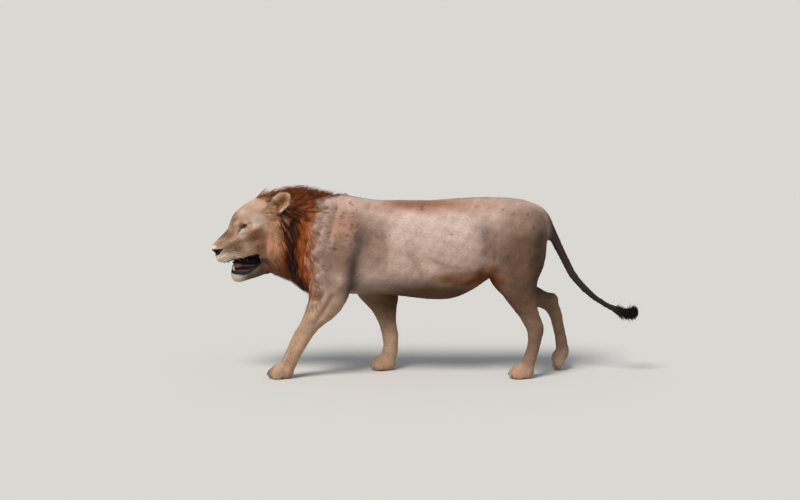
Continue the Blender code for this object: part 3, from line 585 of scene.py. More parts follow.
STROKES = (
    # height, width, which side (-1 left, 1 right, 0 both), line in x and z
    (-0.009, 0.024, -1, ((-0.335, 0.885), (-0.352, 0.76), (-0.372, 0.62), (-0.400, 0.49))),
    (-0.009, 0.024, 1, ((-0.325, 0.885), (-0.320, 0.76), (-0.270, 0.62), (-0.160, 0.50))),
    (0.008, 0.030, -1, ((-0.400, 0.90), (-0.405, 0.78), (-0.430, 0.64), (-0.455, 0.52))),
    (0.008, 0.030, 1, ((-0.390, 0.90), (-0.380, 0.78), (-0.330, 0.64), (-0.240, 0.54))),
    (-0.005, 0.018, 0, ((-0.475, 0.92), (-0.500, 0.80), (-0.530, 0.72))),
    (0.006, 0.024, 0, ((-0.505, 0.93), (-0.535, 0.82), (-0.570, 0.72))),
    (-0.005, 0.016, -1, ((-0.560, 0.66), (-0.520, 0.56), (-0.490, 0.50))),
    (0.005, 0.020, -1, ((-0.520, 0.47), (-0.565, 0.39), (-0.610, 0.33))),
    (-0.004, 0.012, -1, ((-0.500, 0.46), (-0.550, 0.37), (-0.590, 0.31))),
    (-0.010, 0.030, 0, ((0.330, 0.86), (0.335, 0.74), (0.345, 0.64), (0.300, 0.56))),
    (0.010, 0.026, 0, ((0.385, 0.90), (0.400, 0.78), (0.385, 0.64), (0.330, 0.57))),
    (0.008, 0.030, 0, ((0.345, 0.925), (0.400, 0.915))),
    (-0.006, 0.020, 0, ((0.470, 0.88), (0.500, 0.76), (0.520, 0.64))),
    (0.006, 0.026, 0, ((0.560, 0.88), (0.590, 0.78), (0.575, 0.68))),
    (-0.007, 0.022, 0, ((0.300, 0.53), (0.200, 0.475), (0.080, 0.455), (-0.060, 0.462))),
    (0.005, 0.018, 0, ((0.290, 0.565), (0.200, 0.515), (0.080, 0.500))),
    (-0.0014, 0.012, 0, ((-0.225, 0.80), (-0.200, 0.68), (-0.215, 0.56))),
    (-0.0012, 0.014, 0, ((-0.155, 0.82), (-0.125, 0.69), (-0.140, 0.56))),
    (-0.0015, 0.012, 0, ((-0.085, 0.82), (-0.050, 0.69), (-0.065, 0.56))),
    (-0.0010, 0.015, 0, ((-0.015, 0.80), (0.025, 0.69), (0.010, 0.57))),
    (-0.0008, 0.012, 0, ((0.060, 0.78), (0.100, 0.69), (0.090, 0.60))),
    (-0.004, 0.014, 0, ((-0.300, 0.925), (0.000, 0.915), (0.280, 0.925))),
)


DEEPER = 1.5  # the strokes were drawn for a softer light, so all are cut deeper by this much
STRONG = 0.0075  # strokes higher or deeper than this fade out towards the back


def press(height, width, which, line):
    """One stroke on the flank of one side or both."""
    _, y, z = sheet.places.T
    out = (y - MIDDLE_Y) * (which if which else np.sign(y - MIDDLE_Y))
    far = far_from_line(sheet.places[:, [0, 2]], line)
    normals = sheet.normals()
    amount = brushed(far, width) * ramp(out, 0.02, 0.05) * ramp(np.abs(normals[:, 1]), 0.15, 0.45)
    fading = 1 - 0.9 * ramp(z, 0.74, 0.90) * (abs(height) > STRONG)
    amount = amount * (1 - mane_share(sheet.places)) * fading
    sheet.places = sheet.places + normals * (DEEPER * height * amount)[:, None]


for height, width, which, line in STROKES:
    press(height, width, which, line)
x, y, z = sheet.places.T
SPINE_HEIGHT = 0.006
spine = ramp(z, 0.90, 0.95) * ramp(x, -0.30, -0.12) * fade(x, 0.22, 0.42)
spine = spine * ramp(sheet.normals()[:, 2], 0.2, 0.7)
sheet.places = sheet.places + np.outer(SPINE_HEIGHT * spine, [0, 0, 1])
print(len(STROKES), "strokes on the body")

# %% [markdown]
# ## Toes
# A paw shows four toes with clefts between them. The clefts are strokes too, seen from above:
# short lines that fan out from the middle of the paw to its front edge.

# %% Clefts between the toes
PAW_NODES = ("left_forepaw", "right_forepaw", "left_hind_paw", "right_hind_paw")
CLEFT_DEPTH, CLEFT_WIDTH = 0.0075, 0.0055
for name in PAW_NODES:
    low, high = box_of(name)
    front, centre_y = low[0], (low[1] + high[1]) / 2
    inside = ((sheet.places > low - 0.004) & (sheet.places < high + 0.004)).all(1)
    normals = sheet.normals()
    for cleft in (-0.029, 0.0, 0.029):
        line = ((front - 0.01, centre_y + cleft * 1.05), (front + 0.075, centre_y + cleft * 0.8))
        far = far_from_line(sheet.places[:, :2], line)
        amount = brushed(far, CLEFT_WIDTH) * inside * ramp(normals[:, 2], -0.6, 0.0)
        amount = amount * ramp(sheet.places[:, 2], 0.078, 0.052)
        sheet.places = sheet.places - normals * (CLEFT_DEPTH * amount)[:, None]
print("12 clefts")

# %% [markdown]
# ## Sculpting: the face
# Lion faces are built of planes: a broad flat bridge with two edges, puffed whisker pads with a
# fold behind them, cheekbones that stand out under the eyes, and strong jaw muscles. The strokes
# here run through space, in the head's own axes, and are mirrored.

# %% Strokes on the face
FACE_STROKES = (
    # height, width, line of (back, sideways, up)
    # bridge edge
    (0.0040, 0.010, ((0.050, 0.028, 0.014), (0.105, 0.029, 0.042), (0.150, 0.033, 0.078))),
    # before the eye
    (-0.0100, 0.017, ((0.120, 0.060, 0.012), (0.155, 0.062, 0.036), (0.180, 0.062, 0.052))),
    (-0.0050, 0.014, ((0.085, 0.052, -0.006), (0.125, 0.060, 0.014))),  # beside the bridge
    (-0.0030, 0.012, ((0.060, 0.0, 0.028), (0.140, 0.0, 0.080))),  # flat of the bridge
    (0.0080, 0.013, ((0.172, 0.040, 0.094), (0.200, 0.062, 0.098), (0.235, 0.082, 0.086))),  # brow
    (-0.0055, 0.014, ((0.160, 0.0, 0.108), (0.215, 0.0, 0.148), (0.300, 0.0, 0.174))),  # furrow
    (-0.0070, 0.022, ((0.262, 0.100, 0.075), (0.300, 0.112, 0.095))),  # temple
    # cheekbone
    (0.0075, 0.015, ((0.200, 0.086, 0.008), (0.250, 0.104, 0.016), (0.300, 0.118, 0.034))),
    # below it
    (-0.0080, 0.018, ((0.165, 0.074, -0.025), (0.220, 0.092, -0.034), (0.262, 0.108, -0.040))),
    (0.0070, 0.034, ((0.290, 0.118, -0.070), (0.310, 0.118, -0.100))),  # jaw muscle
    (0.0070, 0.022, ((0.030, 0.036, -0.066), (0.066, 0.054, -0.068))),  # whisker pad
    # behind it
    (-0.0065, 0.011, ((0.098, 0.058, -0.014), (0.112, 0.066, -0.050), (0.118, 0.066, -0.095))),
    # above it
    (-0.0060, 0.009, ((0.018, 0.036, -0.046), (0.045, 0.046, -0.036), (0.085, 0.056, -0.030))),
    (0.0040, 0.012, ((0.012, 0.000, -0.004), (0.034, 0.022, -0.006))),  # pad over the nose
    (-0.0040, 0.010, ((0.030, 0.042, -0.006), (0.050, 0.046, -0.010))),  # beside the nose
)
for height, width, line in FACE_STROKES:
    normals = sheet.normals()
    for which in (-1, 1):
        far = far_from_line(sheet.places, [on_head(b, which * s, u) for b, s, u in line])
        amount = brushed(far, width) * (0.5 if line[0][1] == 0 else 1.0)
        sheet.places = sheet.places + normals * (height * amount)[:, None]
print(len(FACE_STROKES), "strokes on the face")

# %% [markdown]
# ## Sculpting: eyes
# A lion's eyelids are thin and lie tight on the eyeball. So the hide round each eye is laid on a
# sphere a little larger than the eyeball, and opened in an almond, inside which it drops behind
# the eyeball. Above the upper lid runs a fold, and over that the brow stands out; before the inner
# corner a groove leads down along the nose. He squints into the light, so the almond is low.

# %% Eye axes and the almond
LID_RADIUS = EYE_RADIUS + 0.0018
ALMOND_HALF = 0.0178
UPPER_LID, LOWER_LID = 0.0058, 0.0056


def eye_axes(which):
    """Along the almond from its inner corner outwards, up across it, and out of the head."""
    outward = unit(-0.62 * BACK + which * 0.76 * SIDE + 0.16 * UP)
    corner = BACK * 0.95 + 0.10 * UP + which * 0.35 * SIDE
    along = unit(corner - (corner @ outward) * outward)
    upward = np.cross(outward, along) * which
    return along, upward * np.sign(upward @ UP), outward


def almond(along):
    """Upper and lower edge of the eye's opening at a distance along it."""
    share = np.clip(1 - (along / ALMOND_HALF) ** 2, 0, 1)
    return UPPER_LID * share**0.65, -LOWER_LID * share**0.75


for which, eye in EYES.items():
    along_axis, up_axis, out_axis = eye_axes(which)
    off = sheet.places - eye
    along, upward, outward = off @ along_axis, off @ up_axis, off @ out_axis
    reach = np.hypot(along, upward)
    ring = (reach > 0.036) & (reach < 0.060) & (outward > -0.030) & (outward < 0.045)
    terms = np.stack([1 + 0 * along, along, upward, along**2, along * upward, upward**2], 1)
    plain = terms @ np.linalg.lstsq(terms[ring], outward[ring], rcond=None)[0]
    near = (reach < 0.056) & (outward > -0.040) & (outward < 0.050)
    blend = ramp(reach, 0.032, 0.055)
    ball = np.sqrt(np.maximum(LID_RADIUS**2 - reach**2, (0.40 * LID_RADIUS) ** 2))
    around = plain * (1 - blend) + outward * blend
    around = np.minimum(around + 0.0060 * np.exp(-((reach / 0.026) ** 4)), 0.0205)
    higher = 0.5 * (ball + around + np.sqrt((ball - around) ** 2 + 0.0030**2))
    hold = 1 - ramp(np.hypot(0.62 * along, 1.15 * upward), 0.0108, 0.0155)
    laid = higher * (1 - hold) + ball * hold
    fold = brushed(upward - 0.0125 + 14 * along**2, 0.0020)
    fold = fold * fade(np.abs(along), 0.014, 0.026)
    bag = brushed(upward + 0.0120 - 12 * along**2, 0.0022)
    bag = bag * fade(np.abs(along), 0.012, 0.022)
    brow = brushed(upward - 0.0250, 0.0070) * fade(np.abs(along + 0.004), 0.016, 0.036)
    tear_line = ((-0.020, -0.001), (-0.038, -0.010))
    tear = brushed(far_from_line(np.stack([along, upward], 1), tear_line), 0.0032)
    laid = laid - 0.0020 * fold - 0.0014 * bag + 0.0050 * brow - 0.0035 * tear
    top, bottom = almond(along)
    opening = (upward < top) & (upward > bottom) & (np.abs(along) < ALMOND_HALF)
    behind = np.sqrt(np.maximum((EYE_RADIUS - 0.0035) ** 2 - reach**2, 0.0))
    laid = np.where(opening, behind, laid)
    sheet.places = sheet.places + ((laid - outward) * near)[:, None] * out_axis
    rough = ramp(reach, 0.024, 0.032) * fade(reach, 0.055, 0.065) * (np.abs(outward) < 0.06)
    for _ in range(10):
        sheet.places = sheet.places - 0.8 * rough[:, None] * sheet.off(sheet.places)
print("two eyes laid in")

# %% [markdown]
# ## Sculpting: nose and mouth
# The nose leather is a bare black wedge with two comma-shaped nostrils, and a groove runs from it
# down to the lip. The bare parts of the face, nose leather, lips and the lining of the mouth, are
# one mask on the skin, from 0 for hair to 1 for bare, which later decides colour, gloss and where
# no tuft may grow.


# %% Nostrils, groove and lips
def crease(height, width, path):
    """Pushes the hide out, or lets it in, along a path. Gives back how far each point is."""
    far = far_from_line(sheet.places, path)
    sheet.places = sheet.places + normals * (height * brushed(far, width))[:, None]
    return far


NOSE_PINCH = 0.30
back, side, up = head_places(sheet.places)
pinched = fade(back, 0.045, 0.115) * ramp(up, -0.068, -0.048) * fade(up, 0.000, 0.025)
pinched = pinched * (np.abs(side) < 0.12)
sheet.places[:, 1] -= NOSE_PINCH * pinched * side
normals = sheet.normals()
for which in (-1, 1):
    slit = (
        on_head(0.002, which * 0.0120, -0.036),
        on_head(0.008, which * 0.0210, -0.0335),
        on_head(0.022, which * 0.0320, -0.0290),
        on_head(0.044, which * 0.0420, -0.0280),
    )
    crease(-0.0140, 0.0052, slit[:3])
    crease(-0.0040, 0.0030, slit[2:])
    wing = (on_head(0.006, which * 0.022, -0.0215), on_head(0.034, which * 0.038, -0.019))
    crease(0.0028, 0.0055, wing)
split = (on_head(0.004, 0, -0.034), on_head(0.004, 0, -0.055), on_head(0.020, 0, -0.086))
groove = crease(-0.0070, 0.0038, split)

back, side, up = head_places(sheet.places)
normals = sheet.normals()
top_edge = np.interp(back, [-0.010, 0.004, 0.030, 0.060], [-0.011, -0.0115, -0.0180, -0.0250])
low_edge = np.interp(back, [-0.010, 0.020, 0.040, 0.064], [-0.057, -0.055, -0.040, -0.0255])
low_edge = low_edge + 0.32 * np.clip(np.abs(side) - 0.012, 0, 0.03) * fade(back, 0.010, 0.030)
leather = ramp(np.minimum(top_edge - up, up - low_edge), -0.0010, 0.0022) * (back < 0.066)
sheet.places = sheet.places + normals * (0.0025 * leather * fade(back, 0.02, 0.05))[:, None]
leather = np.maximum(leather, fade(groove, 0.0022, 0.0042) * (up > -0.070) * (back < 0.03))
x, y, z = sheet.places.T
mouth_roof = (normals[:, 2] < -0.72) & (back > 0.055) & (back < 0.30)
mouth_roof = mouth_roof & (np.abs(side) < 0.066) & (z > 0.600)
mouth_floor = (normals[:, 2] > 0.45) & (x < -0.870) & (z < 0.640) & (z > 0.535)
lining = (mouth_roof | mouth_floor).astype(float)
one, other, count = sheet.a, sheet.b, sheet.count
neighbours = np.bincount(one, minlength=count) + np.bincount(other, minlength=count)
lips = lining.copy()
for _ in range(5):
    spread_out = np.bincount(one, lips[other], count) + np.bincount(other, lips[one], count)
    lips = 0.3 * lips + 0.7 * spread_out / neighbours
lips = ramp(lips, 0.30, 0.50) * fade(x, -0.86, -0.845)
LIP_X = (-1.06, -1.03, -0.98, -0.94, -0.91, -0.88)
LIP_Z = (0.560, 0.550, 0.546, 0.564, 0.590, 0.616)
lip_edge = np.interp(x, LIP_X, LIP_Z)
lower_lip = ramp(z - lip_edge, -0.003, 0.006) * (z < 0.622) * fade(x, -0.895, -0.870)
lower_lip = lower_lip * (up < -0.085) * (back > 0.035)
BARE = np.clip(np.maximum.reduce([leather, lips, lower_lip]), 0, 1)
print("bare points", int((BARE > 0.5).sum()))

sheet.places = keep_inside(sheet.places, 0.0003)
sheet.normals()
hull = lay(sheet.places, hull, ramp(mane_growth(hull), 0.0, 0.3))

# %% [markdown]
# ## A map of the hide
# The finished model can be painted from a flat map, in which the hide is cut into patches and laid
# out. Each tuft of hair later takes the tiny spot of that map where its root stands, so that hair
# and hide can't disagree about colour.

# %% Unwrap the skin
for layer in list(skin.data.uv_layers):
    skin.data.uv_layers.remove(layer)
skin.data.uv_layers.new(name="OFBake")
skin.data.polygons.foreach_set("use_smooth", [True] * len(skin.data.polygons))
bpy.context.view_layer.objects.active = skin
skin.select_set(True)
bpy.ops.object.mode_set(mode="EDIT")
bpy.ops.mesh.select_all(action="SELECT")
bpy.ops.uv.smart_project(angle_limit=math.radians(66), island_margin=0.001)
bpy.ops.object.mode_set(mode="OBJECT")
print("unwrapped after", round(time.time() - STARTED, 1), "s")

# %% [markdown]
# ## The markings, and painted light and shade
# A lion's coat looks plain, and isn't: sandy on the flank, browner along the spine, pale on the
# belly, chin and below the eyes, red-brown in the mane with near black depths, and black at the
# tail's end. Light and shade are painted into the colour as well: a highlight on the upper flank,
# shade over the belly's pale hair, on thigh, rump, lower flank and tail, in creases and hollows, at
# the root and in the hollow of each ear, in the mane below the ears, on the side of the jaw, and
# inside the mouth. All of these are soft patches, so the colour of any point is worked out by
# laying one patch over another. The hide and the hair use this one function.


# %% Patches, lines and spots of colour
def patch(places, centre, radii, sharp=0.35):
    """1 at the middle of a soft ellipsoid, 0 outside it. Both sides of the body get it."""
    off = places - np.array(centre)
    off[:, 1] = np.abs(places[:, 1] - MIDDLE_Y) - centre[1]
    far = np.linalg.norm(off / np.array(radii), axis=1)
    return 1 - ramp(far, sharp, 1.0)


# Some patches are painted light and shade: a highlight on the upper flank, and shade on thigh,
# rump, lower flank, belly and the fold before the thigh.
BODY_PATCHES = (
    # colour, share, centre (x, out from the mid plane, z), radii
    ("bfa99e", 0.90, (0.06, 0.17, 0.83), (0.42, 0.16, 0.15)),  # painted highlight on the upper flank
    ("ab826c", 0.70, (0.04, 0.10, 0.935), (0.50, 0.16, 0.055)),  # along the upper back
    ("9b7460", 0.85, (-0.44, 0.17, 0.84), (0.17, 0.14, 0.16)),  # shoulder
    ("755746", 0.85, (-0.47, 0.17, 0.66), (0.12, 0.14, 0.14)),  # below the shoulder
    ("967a69", 0.75, (-0.53, 0.17, 0.50), (0.12, 0.14, 0.10)),  # upper arm
    ("866857", 0.75, (-0.27, 0.17, 0.74), (0.10, 0.16, 0.20)),  # first ribs
    ("553a28", 0.92, (0.53, 0.15, 0.64), (0.26, 0.22, 0.34)),  # thigh, darkened as painted shade
    ("836858", 0.80, (0.56, 0.10, 0.85), (0.20, 0.12, 0.12)),  # rump, darkened as painted shade
    ("6f4022", 0.92, (-0.02, 0.00, 0.990), (0.52, 0.085, 0.045)),  # streak along the spine
    ("7a4320", 0.90, (-0.04, 0.11, 0.955), (0.34, 0.13, 0.058)),  # its red part behind the withers
    ("7e4823", 0.85, (0.20, 0.13, 0.545), (0.24, 0.20, 0.060)),  # painted shade and a warm painted reflection on the lower flank
    ("452b12", 0.95, (0.05, 0.10, 0.40), (0.62, 0.32, 0.21)),  # painted shade under the belly
    ("62300f", 0.92, (0.33, 0.13, 0.53), (0.14, 0.20, 0.11)),  # painted shade in the fold before the thigh, tinted warm by painted light
)
# Lines of painted shade, laid where creases, hollows, grooves and folds lie in shade.
PAINTED_SHADE_LINES = (
    # colour, share, half width, which side (-1 left, 1 right, 0 both), line in x and z
    # painted shade in the crease behind the arm
    ("3c3129", 0.86, 0.042, -1, ((-0.335, 0.84), (-0.350, 0.74), (-0.385, 0.60), (-0.405, 0.47))),
    ("3c3129", 0.80, 0.038, 1, ((-0.325, 0.86), (-0.312, 0.76), (-0.255, 0.62), (-0.160, 0.50))),
    # painted shade at the back of the thigh
    ("3a281c", 0.75, 0.052, 0, ((0.620, 0.82), (0.605, 0.74), (0.590, 0.62), (0.600, 0.50))),
    # painted shade in the hollow before the thigh
    ("60493b", 0.68, 0.058, 0, ((0.325, 0.82), (0.352, 0.74), (0.340, 0.62))),
    ("5e3113", 0.65, 0.024, 0, ((0.360, 0.60), (0.300, 0.545), (0.220, 0.505))),  # painted shade along the edge of the fold, tinted warm
    ("6d5546", 0.45, 0.030, -1, ((-0.560, 0.68), (-0.525, 0.60))),  # painted shade in the groove before the upper arm
    # painted shade in faint wrinkles of the flank
    ("7d6150", 0.45, 0.016, -1, ((0.020, 0.66), (0.120, 0.610), (0.230, 0.600))),
    ("7d6150", 0.45, 0.013, -1, ((0.060, 0.60), (0.170, 0.560), (0.270, 0.560))),
    ("86695a", 0.40, 0.012, -1, ((-0.100, 0.70), (-0.060, 0.62), (-0.020, 0.56))),
)
FACE_PATCHES = (
    # colour, share, centre (back from the nose tip, sideways, up), radii
    ("c3a28e", 0.95, (0.27, 0.03, 0.15), (0.16, 0.14, 0.09)),  # forehead
    ("c2aa9a", 0.85, (0.290, 0.10, 0.060), (0.075, 0.070, 0.055)),  # temple
    ("7b4c2e", 0.85, (0.172, 0.00, 0.110), (0.055, 0.095, 0.036)),  # between the brows
    ("5e4335", 0.85, (0.105, 0.00, 0.040), (0.110, 0.085, 0.040)),  # bridge of the nose
    ("684d3c", 0.92, (0.118, 0.06, -0.036), (0.092, 0.080, 0.052)),  # side of the muzzle
    ("693c22", 0.78, (0.258, 0.11, -0.012), (0.085, 0.100, 0.050)),  # cheek below the eye
    ("6d3f25", 0.78, (0.285, 0.12, -0.080), (0.135, 0.10, 0.080)),  # jaw muscle
    # dark hair behind the corner of the mouth, darkened further by painted shade
    ("33221a", 0.90, (0.240, 0.08, -0.180), (0.095, 0.12, 0.055)),
    ("cfc5b8", 0.95, (0.042, 0.040, -0.076), (0.074, 0.060, 0.034)),  # whisker pad
    ("ddd5c9", 0.95, (0.008, 0.015, -0.003), (0.030, 0.036, 0.014)),  # rim above the nose leather
    ("c9bbab", 0.90, (0.198, 0.075, 0.033), (0.040, 0.040, 0.017)),  # below the eye
    ("c6ab94", 0.70, (0.180, 0.055, 0.080), (0.030, 0.030, 0.014)),  # above the inner corner
    ("1f1612", 0.98, (0.209, 0.080, 0.0555), (0.034, 0.036, 0.0165)),  # dark lids
)
FACE_LINES = (
    # colour, share, half width, line in back and up
    ("2b201a", 0.92, 0.0050, ((0.198, 0.051), (0.186, 0.045), (0.172, 0.036))),  # tear line
    ("4a382e", 0.60, 0.0045, ((0.172, 0.036), (0.160, 0.026), (0.146, 0.018))),  # its paler end
    ("4a3226", 0.60, 0.0050, ((0.226, 0.058), (0.238, 0.062), (0.248, 0.063))),  # behind the eye
)
COAT = {
    "flank": linear("b3988a"),
    "leg": linear("aa8a72"),
    "hind leg dirt and shade": linear("664f3e"),
    "face": linear("ab8a72"),
    "chin": linear("bfb09f"),
    "jaw side shade": linear("452f22"),
    "mane dark": linear("0e0604"),
    "crest": linear("8c4a24"),
    "crest front": linear("a5693c"),
    "mane brown": linear("743c1b"),
    "throat": linear("6b3517"),
    "tail": linear("201813"),
    "brush": linear("0c0a09"),
    "spot": linear("3f2c1f"),
    "ear": linear("d3a780"),
    "ear hollow shade": linear("7c4c2e"),
    "ear root shadow": linear("2c1c14"),
    "ear back": linear("5c4132"),
    "ear rim and highlight": linear("ecdac2"),
    "whisker spot": linear("4e3c30"),
    "whisker row": linear("7c6553"),
}
draw = np.random.default_rng(5)
SPOTS = np.concatenate(
    [
        draw.uniform((-0.590, -0.25, 0.700), (-0.360, 0.25, 0.945), (150, 3)),  # shoulder
        draw.uniform((-0.350, -0.25, 0.600), (0.550, 0.25, 0.950), (60, 3)),  # flank
        draw.uniform((-1.040, -0.25, 0.650), (-0.850, 0.25, 0.790), (70, 3)),  # face
    ]
)
SPOT_SIZES = draw.uniform(0.0030, 0.0095, len(SPOTS))
SPOTS = np.concatenate([SPOTS, [(0.570, -0.2, 0.822)]])  # the mark on the rump
SPOT_SIZES = np.append(SPOT_SIZES, 0.013)
SPOT_INK, FACE_SPOT_INK = 0.72, 0.30
WHISKER_ROOTS = [
    (0.030 + 0.018 * number - 0.003 * row, -0.046 - 0.0125 * row + 0.003 * number)
    for row in range(4)
    for number in range(5)
]
MANE_BANDS = (
    # x, colour: from the cheek back to the shoulder
    (-0.860, "b98a6a"),
    (-0.830, "c99973"),
    (-0.805, "ba764c"),
    (-0.780, "9c5430"),
    (-0.745, "64311a"),
    (-0.715, "55260f"),
    (-0.690, "be6628"),
    (-0.640, "c06e38"),
    (-0.600, "a8694a"),
    (-0.560, "a17a62"),
)
MANE_DARKS = (
    # share, centre (x, out from the mid plane, z), radii: where near black hair shows
    (1.0, (-0.722, 0.15, 0.68), (0.048, 0.26, 0.20)),
    (0.95, (-0.748, 0.15, 0.84), (0.032, 0.26, 0.13)),
    (0.8, (-0.690, 0.15, 0.56), (0.060, 0.26, 0.09)),
)
EAR_SHADOWS = (
    # centre and radii of the painted shadow below the ear
    ((-0.804, 0.13, 0.872), (0.020, 0.09, 0.034)),
    ((-0.772, 0.13, 0.880), (0.020, 0.09, 0.040)),
)
print(len(BODY_PATCHES) + len(FACE_PATCHES), "patches,", len(SPOTS), "spots")

# %% [markdown]
# Each part of him gets its own short function, which lays its colours over those of the function
# before: body, face, spots, muzzle, mane, tail, ears. The order matters, as it does in
# watercolour.


# %% Colour of any place on him
def lay_patches(colour, places, patches):
    """Soft ellipsoids of colour laid over one another."""
    for code, share, centre, radii in patches:
        colour = lay(colour, linear(code), share * patch(places, centre, radii))
    return colour


def graded(values, steps):
    """Colours at values between steps, each step a value and a hex colour."""
    stops = [stop for stop, _ in steps]
    tones = np.array([linear(code) for _, code in steps])
    return np.stack([np.interp(values, stops, tones[:, i]) for i in range(3)], 1)


def body_colour(places):
    """Sandy flank and legs, with the patches and lines laid on them: marks of the coat, and painted
    light and shade.
    """
    x, y, z = places.T
    colour = np.tile(COAT["flank"], (len(places), 1))
    colour = lay(colour, COAT["leg"], ramp(z, 0.52, 0.36))
    # hind legs darker: partly dirt, partly painted shade
    hind = 0.85 * ramp(z, 0.58, 0.44) * ramp(x, 0.20, 0.36) * ramp(z, 0.02, 0.16)
    colour = lay_patches(lay(colour, COAT["hind leg dirt and shade"], hind), places, BODY_PATCHES)
    for code, share, width, which, line in PAINTED_SHADE_LINES:
        far = far_from_line(places[:, [0, 2]], line)
        outward = (y - MIDDLE_Y) * which if which else np.abs(y - MIDDLE_Y)
        painted_shade = share * brushed(far, width) * ramp(outward, 0.04, 0.09) * fade(z, 0.76, 0.92)
        colour = lay(colour, linear(code), painted_shade)
    return colour


def face_marks(colour, places):
    """The face's own patches, and the dark lines before and behind the eyes."""
    back, side, up = head_places(places)
    in_face = face_share(places)
    colour = lay(colour, COAT["face"], in_face)
    colour = lay_patches(colour, np.stack([back, side + MIDDLE_Y, up], 1), FACE_PATCHES)
    beside = ramp(np.abs(places[:, 1] - MIDDLE_Y), 0.028, 0.040)
    for code, share, width, line in FACE_LINES:
        far = far_from_line(np.stack([back, up], 1), line)
        colour = lay(colour, linear(code), share * brushed(far, width) * beside * in_face)
    return colour


def mottling(places):
    """Slow waves of tone, as short hair shows where it lies a little differently."""
    x, y, z = places.T
    waves = np.sin(38 * x + 2.0 * np.sin(11 * z)) + np.sin(47 * z + 1.7 * np.sin(13 * x) + 5 * y)
    waves = waves + np.sin(83 * x - 71 * z + 3.0) + np.sin(29 * x + 97 * z + 9 * y)
    return 1 + (0.045 + 0.020 * face_share(places)) * waves


def spot_marks(colour, places):
    """Small dark spots over shoulder and flank, faint on the face."""
    x, y, z = places.T
    for spot, size in zip(SPOTS, SPOT_SIZES):
        this_side = (y - MIDDLE_Y) * spot[1] > 0
        near = (np.abs(x - spot[0]) < size) & (np.abs(z - spot[2]) < size) & this_side
        near = np.flatnonzero(near)
        far = np.hypot(x[near] - spot[0], z[near] - spot[2]) / size
        ink = (FACE_SPOT_INK if spot[0] < -0.8 else SPOT_INK) * fade(far, 0.3, 1.0)
        colour[near] = lay(colour[near], COAT["spot"], ink)
    return colour


def muzzle_marks(colour, places):
    """A pale chin, painted shade on the side of the jaw, and rows of dots from which the whiskers
    spring.
    """
    x, _, z = places.T
    back, _, up = head_places(places)
    jaw = fade(x, -0.93, -0.87) * fade(z, 0.60, 0.63)
    colour = lay(colour, COAT["chin"], jaw)
    # painted shade over the lower jaw behind the chin
    jaw_shade = ramp(x, -1.015, -0.950) * fade(x, -0.87, -0.81)
    jaw_shade = jaw_shade * fade(z, 0.595, 0.640)
    colour = lay(colour, COAT["jaw side shade"], 0.90 * jaw_shade)
    for row in range(0, len(WHISKER_ROOTS), 5):
        far = far_from_line(np.stack([back, up], 1), (WHISKER_ROOTS[row], WHISKER_ROOTS[row + 4]))
        dotted = 0.45 * fade(far, 0.0010, 0.0036) * (x < -0.9)
        colour = lay(colour, COAT["whisker row"], dotted)
    for root_back, root_up in WHISKER_ROOTS:
        near = (np.abs(back - root_back) < 0.004) & (np.abs(up - root_up) < 0.004) & (x < -0.9)
        near = np.flatnonzero(near)
        far = np.hypot(back[near] - root_back, up[near] - root_up) / 0.0036
        colour[near] = lay(colour[near], COAT["whisker spot"], 0.85 * fade(far, 0.3, 1.0))
    return colour


def mane_marks(colour, places):
    """Bands of red, brown and near black, painted shadow below the ears, a redder crest, and a rear
    border that fades away.
    """
    x, y, z = places.T
    mane = graded(x + 0.012 * np.sin(23 * z + 9 * y) + 0.008 * np.sin(57 * z), MANE_BANDS)
    # painted shadow of each ear on the mane below it
    ear_shadow = np.maximum.reduce([patch(places, centre, radii) for centre, radii in EAR_SHADOWS])
    mane = lay(mane, COAT["ear root shadow"], 0.95 * ear_shadow)
    mane = lay(mane, COAT["mane brown"], 0.40 * ramp(z, 0.86, 0.94) * ramp(x, -0.82, -0.78))
    mane = lay(mane, COAT["throat"], 0.70 * ramp(z, 0.70, 0.64) * fade(x, -0.78, -0.74))
    darks = [share * patch(places, centre, radii, 0.2) for share, centre, radii in MANE_DARKS]
    darks.append(0.6 * ramp(z, 0.60, 0.52) * ramp(z, 0.44, 0.49) * fade(x, -0.68, -0.62))
    mane = lay(mane, COAT["mane dark"], np.clip(0.96 * np.maximum.reduce(darks), 0, 0.96))
    rear = mane_rear(places)
    faded = ramp(x, rear - 0.060, rear + 0.030) * (1 - 0.85 * ramp(z, 0.88, 0.95))
    mane = lay(mane, colour, 0.85 * np.maximum(faded, ramp(z, 0.50, 0.44)))
    high = ramp(z, 0.93, 0.97)
    mane = lay(mane, COAT["crest"], high * ramp(x, -0.92, -0.84))
    mane = lay(mane, COAT["crest front"], high * fade(x, -0.92, -0.85))
    return lay(colour, mane, mane_growth(places))


def tail_marks(colour, places):
    """A darker tail, partly painted shade, and a black brush."""
    x, y, z = places.T
    tail = ramp(x, 0.625, 0.685) * ramp(z, 0.26, 0.30)
    tail = tail * fade(np.abs(y - MIDDLE_Y), 0.040, 0.065)
    # the tail's own darker hair, darkened further by painted shade
    colour = lay(colour, COAT["tail"], 0.95 * tail)
    return lay(colour, COAT["brush"], tuft_share(places))


